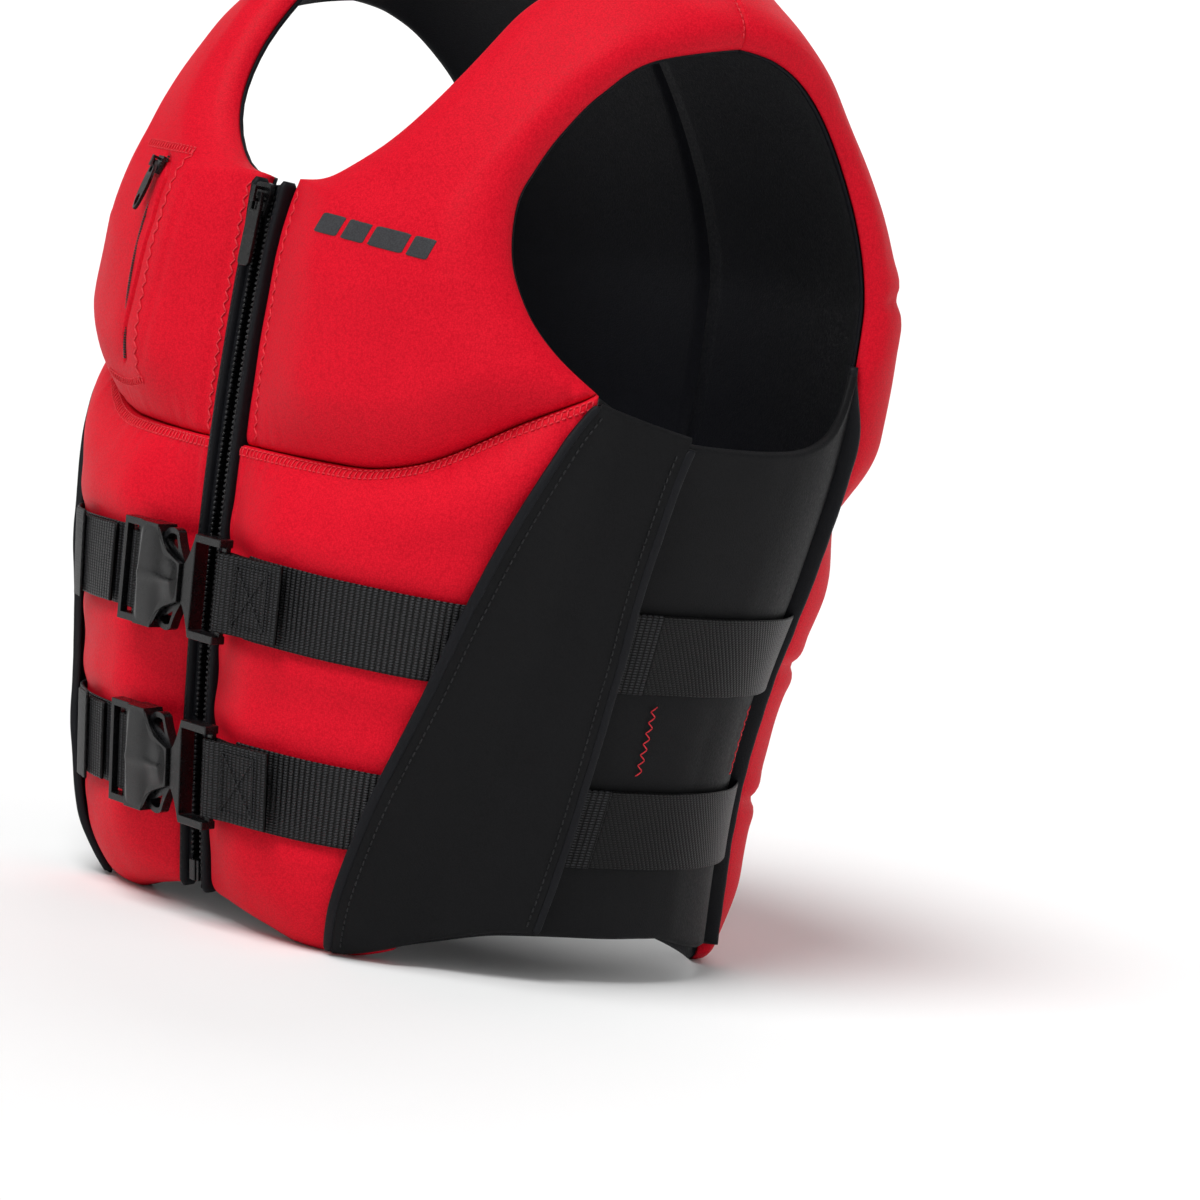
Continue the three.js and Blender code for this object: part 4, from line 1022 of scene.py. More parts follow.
def both_halves(pad, bend):
    """The half pad and its mirror image sewn along the middle, up to the bend."""
    sewn = np.zeros(pad.skin.shape[:2], bool)
    sewn[0, pad.vs <= bend + 1e-9] = True
    points, faces = sheet(pad.skin, pad.base, sewn)
    points[np.abs(points[:, 0]) < 1e-3, 0] = 0
    return joined((points, faces), mirrored((points, faces)))


def welded(obj):
    """Merges the points that the two halves share."""
    work = bmesh.new()
    work.from_mesh(obj.data)
    bmesh.ops.remove_doubles(work, verts=work.verts, dist=1e-6)
    work.to_mesh(obj.data)
    work.free()
    return obj


def build_pads():
    """Each pad is the skin of its grid joined to a flat base; the back pads are sewn halves."""
    red = finish_of("Red neoprene")
    for side, sign in SIDES.items():
        pocket = side == "right"
        PADS[side, "chest"], PADS[side, "belly"] = chest_pad(pocket), belly_pad()
        for row in ("chest", "belly"):
            pad = PADS[side, row]
            part = sheet(pad.skin, pad.base)
            obj = make(f"{side}_{row}_pad", on_side(part, sign), red)
            finished(obj, "red_neoprene", f"{side}_{row}_cover", f"{side}_{row}_foam")
    PADS["lower"], PADS["upper"] = lower_back_pad(), upper_back_pad()
    for row, bend in (("lower", 1.0), ("upper", NECK_BEND)):
        obj = welded(make(f"{row}_back_pad", both_halves(PADS[row], bend), red))
        finished(obj, "red_neoprene", f"back_{row}_cover", f"back_{row}_foam")


# ---------------------------------------------------------------- linings, sides and wings
def lining_of(panel, us, vs):
    """A thin sheet between the two lining depths, its edges drawn in by a quarter ellipse."""
    u, v = np.meshgrid(us, vs, indexing="ij")
    place = panel(u, v)
    t, h = place[..., 0], place[..., 1]
    soft = rounding(np.minimum.reduce([u, 1 - u, v, 1 - v]), 0.012)
    low, high = LINER
    swelling = 0.25 * ripple(t * 3, h, 47.0)
    return outside(t, h, high - 0.9 * soft), outside(t, h, low + 0.25 + 0.25 * swelling + 0.5 * soft)


def build_linings():
    """One thin sheet behind each row of pads, over the same panels a little wider."""
    dark = finish_of("Lining")
    for side, sign in SIDES.items():
        parts = [sheet(*lining_of(panel(-0.2), spaced(48), spaced(count, keep=(CHEST_BEND,))))
                 for panel, count in ((belly_panel, 40), (chest_panel, 70))]
        part = joined(*parts)
        obj = make(f"{side}_front_lining", on_side(part, sign), dark)
        finished(obj, "lining", f"{side}_front_liner")
    halves = []
    for panel, count, bend in ((lower_back_panel, 36, 1.0), (upper_back_panel, 70, NECK_BEND)):
        vs = spaced(count, 0.4, (bend,) if bend < 1 else ())
        u = np.linspace(0, 1, 40)
        high, low = lining_of(panel(-0.2), u, vs)
        part = sheet(high, low)
        halves += [part, mirrored(part)]
    finished(make("back_lining", joined(*halves), dark), "lining", "back_liner")


def strip_grid(left, right, foot, head, us, vs):
    """The angles and heights of a strip between two edges given as t of h."""
    u, v = np.meshgrid(us, vs, indexing="ij")
    h = mix(foot(u), head(u), v)
    return mix(left(h), right(h), u), h, u, v


def build_side_panels():
    """A strip between the belly and the back, soft folds in it, rolled at its hem and top."""
    black = finish_of("Black neoprene")
    for side, sign in SIDES.items():
        def left(h):
            return belly_side(h) + 0.8

        def right(h):
            return back_side(h) - 2.3

        def foot(u):
            return mix(hem(mix(left(20.0), right(20.0), u)), 12, swell(u - 0.6, 0.4))

        def head(u):
            return armhole_floor(mix(left(270.0), right(270.0), u)) - 0.5

        t, h, u, v = strip_grid(left, right, foot, head, spaced(110, 0.3), spaced(96, 0.4))
        roll = rounding(np.minimum(v, 1 - v) * (head(u) - foot(u)), 2.6)
        folds = 0.55 * ripple(t * 2.6, h * 0.35, 74.0) + 0.35 * near(t, 100, 3) * np.sin(h / 23)
        high = outside(t, h, SIDE_TOP - 0.6 + folds - 2.2 * roll)
        low = outside(t, h, LINER[0] + 1.2 * roll)
        part = sheet(high, low)
        obj = make(f"{side}_side_neoprene", on_side(part, sign), black)
        finished(obj, "black_neoprene", f"{side}_side_panel")


def wing_lift(t, h):
    """Depth of the wing's under side: it rides over the straps and settles back on to the
    pads above them."""
    settle = 2.7 * ease(h, 205, 262)
    over = sum(1.1 * near(h, STRAP_H[row], 17) for row in STRAP_H)
    return outer_face(t, h) + WING_LIFT - 0.7 - settle - 3.2 * (1 - ease(h, 14, 50)) + over


def wing_middle(t, h):
    """Depth of the middle of the wing's edge tapes."""
    return wing_lift(t, h) + WING_THICK / 2 + 0.2


EDGE_SHIFT = 1.25  # degrees from an edge to the middle of its tape


def build_wings():
    """A strip that rides over the straps, with tape folded round its front and rear edge."""
    black, edge = finish_of("Black neoprene"), finish_of("Edge tape")
    for side, sign in SIDES.items():
        def foot(u):
            return hem(mix(32.0, 66.9, u)) + 3

        def head(u):
            return mix(273.0, 261.5, u)

        t, h, u, v = strip_grid(lambda h: wing_front(h) - 0.6, lambda h: wing_rear(h) + 0.6, foot, head,
                                spaced(70, 0.3), spaced(130, 0.3))
        roll = rounding(np.minimum(v, 1 - v) * (head(u) - foot(u)), 1.8)
        lift = wing_lift(t, h) + 0.35 * ripple(t * 2.5, h, 66.0)
        part = sheet(outside(t, h, lift + WING_THICK - 1.4 * roll), outside(t, h, lift + 1.2 * roll))
        obj = make(f"{side}_wing", on_side(part, sign), black)
        finished(obj, "black_neoprene", f"{side}_side_wing")
        for end, curve, shift, low, high in (("front", wing_front, -EDGE_SHIFT, 5, 272),
                                             ("rear", wing_rear, EDGE_SHIFT, 24, 256)):
            h = np.linspace(low, high, 150)
            part = folded(curve(h) + shift, h, wing_middle, 0.85, WING_THICK / 2 + 0.35)
            obj = make(f"{side}_wing_{end}_edge", on_side(part, sign), edge)
            finished(obj, "binding_tape", f"{side}_wing_{end}_binding")
        h = np.linspace(11, 297, 150)
        top = mix(EDGE + 1.2, 4.5, ease(h, 262, 297))
        middle, half = (LINER[0] + top) / 2, (top - LINER[0]) / 2
        part = folded(back_side(h) - EDGE_SHIFT, h, lambda t, h: middle, 1.4, half)
        obj = make(f"{side}_back_edge", on_side(part, sign), edge)
        finished(obj, "binding_tape", f"{side}_back_binding")


def folded(t, h, depth, half_t, half_d):
    """A tape folded round an edge: a rounded section, half_t degrees by half_d deep, carried
    along the edge's own angles and heights."""
    section = superellipse(20, half_t, 1.0, 3.2)
    wave = 1 + 0.05 * ripple(h, 0 * h, 23.0)[:, None]
    t_all = t[:, None] + section[:, 0] * wave
    d_all = depth(t, h)[:, None] + section[:, 1] * wave * np.reshape(half_d, (-1, 1)) * np.ones((len(h), 1))
    shrink = np.ones(len(h))
    shrink[[0, -1]] = 0.6
    t_all = t[:, None] + (t_all - t[:, None]) * shrink[:, None]
    return tube(outside(t_all, h[:, None] + 0 * t_all, d_all))


# ---------------------------------------------------------------- front zip
def zip_strip(x, h, d, half_x, half_d, count, power=3.2, wobble=0.0):
    """A rounded section carried up the arc of the front closure."""
    along = np.linspace(*h, count)
    section = superellipse(18, half_x, half_d, power)
    sway = wobble * ripple(along, 0 * along, 41.0)[:, None]
    shrink = np.ones((count, 1))
    shrink[[0, -1]] = 0.65
    sway = sway + (parting(along)[:, None] if x > 6 else 0)
    across, outwards = (section * shrink[..., None])[..., 0], (section * shrink[..., None])[..., 1]
    return tube(on_zip(x + sway + across, along[:, None] + 0 * sway, d + outwards))


def build_front_zip():
    """Tapes and edge tapes carried up the arc of the closure, and teeth 2.5 mm apart on each
    side of it."""
    edge, plastic, metal = finish_of("Edge tape"), finish_of("Zip plastic"), finish_of("Zip enamel")
    for side, sign in SIDES.items():
        part = zip_strip(8.95, (ZIP_FOOT - 4, ZIP_TOP + 3), 10.0, 2.3, 4.6, 130, 3, 0.15)
        obj = make(f"{side}_zip_edge", on_side(part, sign), edge)
        finished(obj, "binding_tape", f"{side}_zip_binding")
        part = zip_strip(5.3, (ZIP_FOOT, ZIP_TOP + 1), 10.9, 1.5, 0.5, 60)
        obj = make(f"{side}_zip_cloth", on_side(part, sign), edge)
        finished(obj, "binding_tape", f"{side}_zip_tape")
        h = np.arange(ZIP_BOX_TOP + 1.6, ZIP_TOP - 4.6, 2.5) + (0 if sign > 0 else 1.25)
        out = on_zip(0.0, h, 1.0) - on_zip(0.0, h, 0.0)
        part = capsules(on_zip(2.45, h, 11.0), on_zip(4.35, h, 11.0), out, 1.0, 0.35)
        obj = make(f"{side}_zip_coil", on_side(part, sign), plastic)
        finished(obj, "zip_plastic", f"{side}_zip_teeth")
    guard = zip_strip(0.0, (ZIP_FOOT - 3, ZIP_TOP), 4.1, 11.3, 1.05, 50, 6)
    finished(make("zip_flap", guard, finish_of("Black neoprene")), "black_neoprene", "zip_guard")
    for node in ("zip_box", "zip_pin"):
        softened(node, "vest", plastic, 0.5)
    softened("main_slider", "main_slider", metal, 0.45)
    softened("main_pull", "main_pull", plastic, 0.55)


# ---------------------------------------------------------------- pocket
def on_right_chest(u, v, lift=0.0):
    """A point on the right chest, lifted off its drawn depth."""
    place = CHEST(np.asarray(u, float), np.asarray(v, float))
    t, h = place[..., 0], place[..., 1]
    return outside(t, h, chest_top(u, v, t, h) + lift) * [-1, 1, 1]


CHEST = chest_panel(0.5)


def pocket_arc():
    """The circular arc of the pocket's zip through its top, middle and foot: a function that
    gives the place and the across and outward directions at an angle along it, and the arc's
    half angle."""
    ends = np.array([POCKET_TOP, POCKET_FOOT])
    high, low, middle = (on_right_chest(*p) for p in (ends[0], ends[1], ends.mean(0)))
    up = (high - low) / np.linalg.norm(high - low)
    out = (on_right_chest(*ends[0], 5) - high) + (on_right_chest(*ends[1], 5) - low)
    out -= up * (out @ up)
    out /= np.linalg.norm(out)
    half = np.linalg.norm(high - low) / 2
    bow = (middle - (high + low) / 2) @ out
    radius = (half**2 + bow**2) / (2 * bow)
    centre = (high + low) / 2 + out * (bow - radius)
    across = np.cross(up, out)

    def at(angle):
        angle = np.asarray(angle, float)[..., None]
        lift = out * np.cos(angle) + up * np.sin(angle)
        return centre + lift * radius, across + 0 * lift, lift

    return at, math.asin(half / radius)


def build_pocket():
    """Coil turns across the arc of the slit, and a flat bag 5 mm inside the skin."""
    plastic, metal = finish_of("Zip plastic"), finish_of("Zip enamel")
    at, sweep = pocket_arc()
    place, across, lift = at(np.linspace(-sweep, sweep, 84))
    coil = capsules(place - across * 1.35 - lift * 0.5, place + across * 1.35 - lift * 0.5, lift, 0.52, 0.4)
    finished(make("pocket_zip_coil", coil, plastic), "zip_plastic", "pocket_coil")
    u, v = np.meshgrid(np.linspace(0.14, 0.62, 34), np.linspace(0.07, 0.5, 34), indexing="ij")
    t, h = np.moveaxis(CHEST(u, v), -1, 0)
    rim = np.minimum.reduce([u - 0.14, 0.62 - u, v - 0.07, 0.5 - v])
    fill = swell(rim, 0.05)
    depth = chest_top(u, v, t, h) - 5
    bag = sheet(outside(t, h, depth + 0.2 + 0.6 * fill), outside(t, h, depth - 0.2 - 0.6 * fill))
    finished(make("pocket_lining", mirrored(bag), finish_of("Lining")), "lining", "pocket_bag")
    softened("pocket_slider", "pocket_slider", metal, 0.4)
    softened("pocket_pull", "pocket_pull", metal, 0.5)


# ---------------------------------------------------------------- straps
def start_lift(t):
    """The strap lies closer where the plug slides over it."""
    return mix(1.2, WEB_LIFT, np.clip((t - 17) / 6, 0, 1))


def strap_depth(t, h):
    """Depth of a strap's under side."""
    return outer_face(t, h) + start_lift(t)


def band(t_of, height, depth, width, thick, stations, sign=1):
    """Webbing carried round the jacket: the tape's outline, [up, out], at each station, on
    the surface that depth gives. Returns the mesh and its map in metres along and across."""
    section = tape_section(width, thick, 14)
    s = np.linspace(0, 1, stations)[:, None]
    wave = 0.18 * ripple(s * 340, 0 * s, 90.0)
    h = height + section[:, 0] + wave + 0 * s
    t = t_of(s + 0 * h, h)
    points = outside(t, h, depth(t, h) + thick / 2 + section[:, 1])
    middle = outside(t[:, :1], h[:, :1] * 0 + height, depth(t[:, :1], h[:, :1] * 0 + height))[:, 0]
    along = lengths(middle)
    uv = np.stack([along[:, None] + 0 * h, section[:, 0] + 0 * s], -1).reshape(-1, 2)
    part = tube(points)
    return on_side(part, sign), uv


def build_straps():
    """Webbing on the pads and wings, a coarser length behind them, tails and keepers."""
    web, twill = finish_of("Webbing"), finish_of("Twill webbing")
    for row, height in STRAP_H.items():
        def front(s, h):
            return mix(angle_at(STRAP_START_X, h), wing_rear(h) + PATCH_T, s)

        def rear(s, h):
            return mix(wing_rear(h) + PATCH_T, back_side(h) - STRAP_END, s)

        for side, sign in SIDES.items():
            part, uv = band(front, height, strap_depth, WEB_WIDTH, WEB, 150, sign)
            finished(make(f"{side}_{row}_webbing", part, web, uv=uv), "webbing", f"{side}_{row}_strap")
            part, uv = band(rear, height, strap_depth, WEB_WIDTH - 0.3, WEB - 0.2, 110, sign)
            make(f"{side}_{row}_side_webbing", part, twill, uv=uv)

        def tail_depth(t, h):
            return strap_depth(t, h) + WEB + 0.7

        def tail_reach(s, h):
            return mix(angle_at(TAIL_X[row][0], h), angle_at(TAIL_X[row][1], h), s)

        part, uv = band(tail_reach, height, tail_depth, WEB_WIDTH - 1, WEB, 60, -1)
        finished(make(f"{row}_webbing_tail", part, web, uv=uv), "webbing", f"{row}_strap_tail")

        def keeper_reach(s, h):
            return mix(angle_at(KEEPER_X[row], h), angle_at(KEEPER_X[row] + 12, h), s)

        def keeper_depth(t, h):
            return tail_depth(t, h) + WEB + 0.6

        part, uv = band(keeper_reach, height, keeper_depth, WEB_WIDTH + 4, 1.3, 16, -1)
        finished(make(f"{row}_elastic_keeper", part, twill, uv=uv), "webbing", f"{row}_strap_keeper")


# ---------------------------------------------------------------- buckles
def buckle_frame(height):
    """The buckle's own directions, x across, y up and n outwards, as a function from
    [x, y, n] to the torso's frame."""
    climb = math.asin((height - ZIP_CENTRE_Z) / ZIP_RADIUS)
    out = np.array([0, -math.cos(climb), math.sin(climb)])
    up = np.array([0, math.sin(climb), math.cos(climb)])
    origin = on_zip(0.0, float(height), BUCKLE_D)

    def at(points):
        points = np.asarray(points, float)
        return origin + points @ np.stack([[1.0, 0, 0], up, out])

    return at


def ribbon(points, steps, width, thick):
    """Webbing along a smooth path of [x, n] points in a buckle's frame, with its map."""
    path = spline(points)(np.linspace(0, 1, steps))
    ahead = np.gradient(path, axis=0)
    ahead /= np.linalg.norm(ahead, axis=1, keepdims=True)
    section = tape_section(width, thick, 14)
    off = np.stack([-ahead[:, 1], ahead[:, 0]], -1)[:, None] * section[:, 1:]
    ring = path[:, None] + off
    points = np.stack([ring[..., 0], section[:, 0] + 0 * ring[..., 0], ring[..., 1]], -1)
    along = lengths(path)
    uv = np.stack([along[:, None] + 0 * ring[..., 0], section[:, 0] + 0 * ring[..., 0]], -1).reshape(-1, 2)
    return points, uv


def crown_grid(x, half_of, n_of, rows=40, cols=36):
    """A raised face on a moulding: x along it, y = s half(x), and its height n(x, s)."""
    a, s = np.meshgrid(np.linspace(*x, rows), np.sin(np.linspace(-np.pi / 2, np.pi / 2, cols)), indexing="ij")
    return np.stack([a, s * half_of(a), n_of(a, s)], -1)


BODY_HALF = profile([[-26, 23.9], [-13, 23.9], [-10, 21.6], [-6.5, 16.4], [-2, 12.4], [3, 10], [7.6, 8.9]])


def body_crown(at):
    """The receptacle's crowned top: a ridge down the middle, faces that fall away to a thin
    lip, and a shallow dish before the mouth."""
    def top(x, s):
        lip = 1 - np.abs(s) ** 5
        ends = ease(x, -26, -22.5) * (1 - ease(x, 3.5, 7.6))
        ridge = 2.1 - 1.5 * np.abs(s) ** 1.35 + 0.55 * near(s, 0, 0.09)
        dish = 0.75 * near(x, -6, 6) * (1 - near(s, 0, 0.25))
        return 10.7 + (ridge - dish) * np.clip(lip * ends, 0, 1) ** 0.6
    high = crown_grid((-25.8, 7.6), BODY_HALF, top, 64, 48)
    low = crown_grid((-25.8, 7.6), BODY_HALF, lambda x, s: 10.4 + 0 * x, 64, 48)
    return sheet(at(high), at(low))


def build_buckles():
    """The mouldings with rounded edges, a crowned top, and the webbing through both ends."""
    plastic, web = finish_of("Buckle plastic"), finish_of("Webbing")
    for row, height in STRAP_H.items():
        at = buckle_frame(height)
        for piece in ("receptacle", "plug", "latch_top", "latch_bottom"):
            body = "vest" if piece == "receptacle" else f"{row}_{piece}"
            softened(f"{row}_{piece}", body, plastic, 0.95, 4)
        make(f"{row}_receptacle_crown", body_crown(at), plastic)
        for name, node, path, body in (("plug_loop", "plug_webbing", LOOP_HIGH, f"{row}_plug"),
                                       ("ladder_loop", "ladder_webbing", TAIL_LOOP, "vest")):
            points, uv = ribbon(path, 90, WEB_WIDTH - 1, 1.5)
            obj = make(f"{row}_{name}", tube(at(points)), web, body, uv)
            finished(obj, "webbing", f"{row}_{node}")


# ---------------------------------------------------------------- sewing and print
def surface_line(t, h, d):
    """Points and normals along a line of angles, heights and depths."""
    return outside(t, h, d), facing(t, h)


def sew(name, parts, material, body="vest"):
    """One piece of several lines of stitches."""
    return make(name, joined(*parts), material, body)


def ladder(pad, count, start, end):
    """Two lines of stitches below a pad's top edge, 1 and 4.4 mm from it, with rungs between."""
    lines = [pad.beside(3, reach, count, start, end) for reach in (1.0, 4.4)]
    parts = [stitches(run, 3.0, 0.7, radius=0.42) for run in lines]
    at, along = resampled(lines[0][0], 3.0)
    near_line, far_line, out = (carried(at, along, p) for p in (lines[0][0], lines[1][0], lines[0][1]))
    rungs = capsules(near_line + out * 0.1, far_line + out * 0.1, out, 0.36 * thread_share(), 0.4)
    return [*parts, rungs]


def build_sewing():
    """Ladders at the seams, a zigzag by the zip, running stitches on the edge tapes and the
    side's tacks."""
    red, black = finish_of("Red thread"), finish_of("Black thread")
    for side, sign in SIDES.items():
        chest, belly = PADS[side, "chest"], PADS[side, "belly"]
        seam_parts = ladder(belly, 150, 0.004, 0.985)
        sew(f"{side}_chest_seam_stitches", [on_side(p, sign) for p in seam_parts], red)
        parts = [stitches(chest.beside(0, 9.0 if side == "left" else 5.0, 150, 0.01, 0.385), 3.1,
                          zigzag=3.6 if side == "left" else 2.4, radius=0.42),
                 stitches(chest.beside(3, 2.4, 60, 0.02, 0.98), 3.2, radius=0.38)]
        sew(f"{side}_chest_stitches", [on_side(p, sign) for p in parts], red)
        edge_parts = []
        for curve, shift, low, high in ((wing_front, 1.05, 8, 268), (wing_rear, -0.95, 27, 254)):
            h = np.linspace(low, high, 160)
            t = curve(h) + shift
            path = surface_line(t, h, wing_lift(t, h) + WING_THICK)
            edge_parts.append(stitches(path, 3.6, 0.72, radius=0.4, bow=0.25))
        h = np.linspace(ZIP_FOOT - 2, ZIP_TOP + 1, 150)
        points, above = (on_zip(8.4 + parting(h), h, d) for d in (14.35, 15.35))
        edge_parts.append(stitches((points, above - points), 3.4, 0.66, radius=0.27, bow=0.2))
        sew(f"{side}_edge_stitches", [on_side(p, sign) for p in edge_parts], black)
        parts = []
        for t0, low, high in ((85.0, 101, 135), (118.0, 100, 134)):
            h = np.linspace(low, high, 30)
            parts.append(stitches(surface_line(t0 + 0 * h, h, SIDE_TOP + 0.1), 2.6, zigzag=3.2, radius=0.32))
        sew(f"{side}_side_tacks", [on_side(p, sign) for p in parts], red)
    build_pocket_sewing(red)
    build_back_sewing(red)
    build_web_sewing(black)


def build_pocket_sewing(red):
    """The box of stitching round the pocket."""
    pad = PADS["right", "chest"]
    top_t, top_h = (float(x) for x in CHEST(np.array(POCKET_TOP[0]), np.array(POCKET_TOP[1])))
    foot_t, foot_h = (float(x) for x in CHEST(np.array(POCKET_FOOT[0]), np.array(POCKET_FOOT[1])))
    s = np.linspace(0, 1, 80)
    inner = pad.on(mix(top_t - 5.6, foot_t - 4.6, s), mix(top_h + 5, foot_h - 9, s))
    parts = [stitches(inner, 3.2, zigzag=3.2, radius=0.4)]
    for centre_t, level, bow in ((top_t, top_h + 3, 0.0), (foot_t, foot_h - 10, -3.0)):
        t, h = mix(centre_t - 5.6, centre_t + 9.5, s), level + bow * np.sin(np.pi * s)
        parts += [stitches(pad.on(t, h + gap), 2.9, 0.7, radius=0.4) for gap in (0.0, 3.2)]
        parts.append(stitches(pad.on(t, h + 1.6), 2.9, zigzag=3.0, rungs=True, radius=0.36))
    sew("pocket_stitches", [mirrored(p) for p in parts], red)


def build_back_sewing(red):
    """The back seam's ladder and a line of stitches in each sewn channel."""
    parts = ladder(PADS["lower"], 120, 0.0, 0.98)
    parts.append(stitches(PADS["upper"].beside(3, 2.4, 60, 0.02, 0.98), 3.2, radius=0.38))
    for row, levels in BACK_CHANNELS.items():
        for level in levels:
            t = np.linspace(float(back_side(level)) + 3, 179.4, 150)
            parts.append(stitches(PADS[row].on(t, level + 0 * t), 3.2, 0.7, radius=0.36))
    sew("back_seam_stitches", parts + [mirrored(p) for p in parts], red)


def build_web_sewing(black):
    """The box and cross that hold each plug's doubled webbing."""
    for row, height in STRAP_H.items():
        at = buckle_frame(height)
        top = profile([[41, 6.6], [48, 4.6], [60, 3.2], [70, 2.0], [76, 1.1]])
        corners = [(46, -14), (68, -14), (68, 14), (46, 14), (46, -14), (68, 14), (68, -14), (46, 14)]
        parts = []
        for (x0, y0), (x1, y1) in zip(corners[:-1], corners[1:]):
            s = np.linspace(0, 1, 30)
            x, y = mix(x0, x1, s), mix(y0, y1, s)
            points, above = (at(np.stack([x, y, top(x) + d], -1)) for d in (0.8, 1.8))
            parts.append(stitches((points, above - points), 2.6, 0.7, radius=0.3, bow=0.2))
        sew(f"{row}_box_stitches", parts, black, f"{row}_plug")


PRINT_T, PRINT_H = 21.6, 329.5
PRINT_LEAN, PRINT_HALF, PRINT_SLOPE, PRINT_THICK = 1.5, 3.9, -0.05, 0.3
PRINT_BARS = ((-31, -19), (-16.5, -4.5), (-2, 17), (19.5, 31))


def build_print():
    """A plain broken bar printed on the left chest: slanted blocks end to end."""
    pad = PADS["left", "chest"]
    per_degree = float(np.linalg.norm(torso(PRINT_T + 1, PRINT_H) - torso(PRINT_T, PRINT_H)))
    blocks = []
    for left, right in PRINT_BARS:
        along, across = np.meshgrid(np.linspace(-1, 1, 30), np.linspace(-1, 1, 12), indexing="ij")
        corner = np.abs(along) ** 10 * np.abs(across) ** 10
        x = mix(left, right, (along + 1) / 2) + PRINT_LEAN * across
        h = PRINT_H + PRINT_HALF * across * (1 - 0.12 * corner)
        points, outs = pad.on(PRINT_T + x / per_degree, h + PRINT_SLOPE * x)
        blocks.append(sheet(points + outs * PRINT_THICK, points - outs * PRINT_THICK))
    make("chest_bar_print", joined(*blocks), finish_of("Grey print"))


# ---------------------------------------------------------------- stage
SUNS = (("Key", 10.0, 62.0, 34.0, 1.0), ("Fill", 110.0, 24.0, 60.0, 0.14),
        ("Front", 30.0, 20.0, 60.0, 0.18), ("Rim", 215.0, 40.0, 45.0, 0.3))
CAMERA_SIDE, CAMERA_UP, CAMERA_ROLL = 52.0, 5.0, 7.5
SENSOR = 36.0
AIM = (0.0, 0.010107582, 0.205)


def direction(side, up):
    """The unit vector that points side degrees round from the front and up degrees up."""
    a, e = math.radians(side), math.radians(up)
    return Vector((math.sin(a) * math.cos(e), -math.cos(a) * math.cos(e), math.sin(e)))


def build_floor():
    """A round sheet of paper, flat out to its radius and then turned up by a quarter ellipse."""
    radius, rise = 6.5, 2.6
    floor = np.stack([np.linspace(0.0, radius, 20), np.zeros(20)], -1)
    turn = np.linspace(0, np.pi / 2, 20)[1:]
    bend = np.stack([radius + rise * np.sin(turn), rise * (1 - np.cos(turn))], -1)
    outline = np.concatenate([floor, bend])
    angle = np.linspace(0, 2 * np.pi, 97)[:-1]
    rings = np.stack([outline[:, :1] * np.cos(angle), outline[:, :1] * np.sin(angle),
                      outline[:, 1:] + 0 * angle], -1)
    mesh = bpy.data.meshes.new("paper_bowl")
    faces = [tuple(f) for f in grid_quads(*rings.shape[:2], True)[:, ::-1].tolist()]
    mesh.from_pydata(rings.reshape(-1, 3).tolist(), [], faces)
    mesh.polygons.foreach_set("use_smooth", np.full(len(mesh.polygons), True))
    mesh.materials.append(finish_of("Stage paper"))
    paper = bpy.data.objects.new("paper_bowl", mesh)
    bpy.context.scene.collection.objects.link(paper)


def build_lights(size):
    """Even air and four soft suns, each as its side, height, spread and share of the key."""
    world = bpy.data.worlds.new("Studio air")
    world.use_nodes = True
    world.node_tree.nodes["Background"].inputs[0].default_value = (1, 1, 1, 1)
    world.node_tree.nodes["Background"].inputs[1].default_value = size.air
    bpy.context.scene.world = world
    for name, side, up, spread, share in SUNS:
        light = bpy.data.lights.new(name, "SUN")
        light.angle, light.energy = math.radians(spread), share * size.light
        lamp = bpy.data.objects.new(name, light)
        towards = direction(side, up)
        lamp.location = towards * 4
        lamp.rotation_mode = "QUATERNION"
        lamp.rotation_quaternion = (-towards).to_track_quat("-Z", "Y")
        bpy.context.scene.collection.objects.link(lamp)


def build_camera(size):
    """The camera stands back from the aim point, rolled, and is turned so that this point
    lies off the middle of the frame by the two aims."""
    a, r = math.radians(CAMERA_SIDE), math.radians(CAMERA_ROLL)
    back, level = direction(CAMERA_SIDE, CAMERA_UP), Vector((math.cos(a), math.sin(a), 0))
    up = back.cross(level)
    right = math.cos(r) * level + math.sin(r) * up
    top = math.cos(r) * up - math.sin(r) * level
    cam = bpy.data.cameras.new("Camera")
    cam.sensor_width, cam.lens = SENSOR, size.lens
    cam.clip_start, cam.clip_end = 0.1, 60
    cam.dof.use_dof = False
    holder = bpy.data.objects.new("Camera", cam)
    focal = size.lens / SENSOR
    ahead = (-back + right * (size.side_aim / focal) + top * (size.up_aim / focal)).normalized()
    holder.location = Vector(AIM) + back * size.distance
    side = ahead.cross(top).normalized()
    holder.rotation_mode = "QUATERNION"
    holder.rotation_quaternion = Matrix((side, side.cross(ahead), -ahead)).transposed().to_quaternion()
    bpy.context.scene.collection.objects.link(holder)
    bpy.context.scene.camera = holder


def build_stage():
    """Floor, lights and camera, shown without a film look."""
    size = bpy.context.scene.jacket_stage
    build_floor()
    build_lights(size)
    build_camera(size)
    bpy.context.scene.view_settings.view_transform = "Standard"


# ---------------------------------------------------------------- settings, operators, panel
class JacketColours(bpy.types.PropertyGroup):
    """Base colours of the cloth, as linear light"""

    red: FloatVectorProperty(name="Red", description="Outer cloth of the pads", subtype="COLOR",
                             size=3, min=0, max=1, default=(0.62, 0.0015, 0.015))
    black: FloatVectorProperty(name="Black", description="Neoprene, tapes, webbing and mouldings",
                               subtype="COLOR", size=3, min=0, max=1, default=(0.0062, 0.0063, 0.0070))


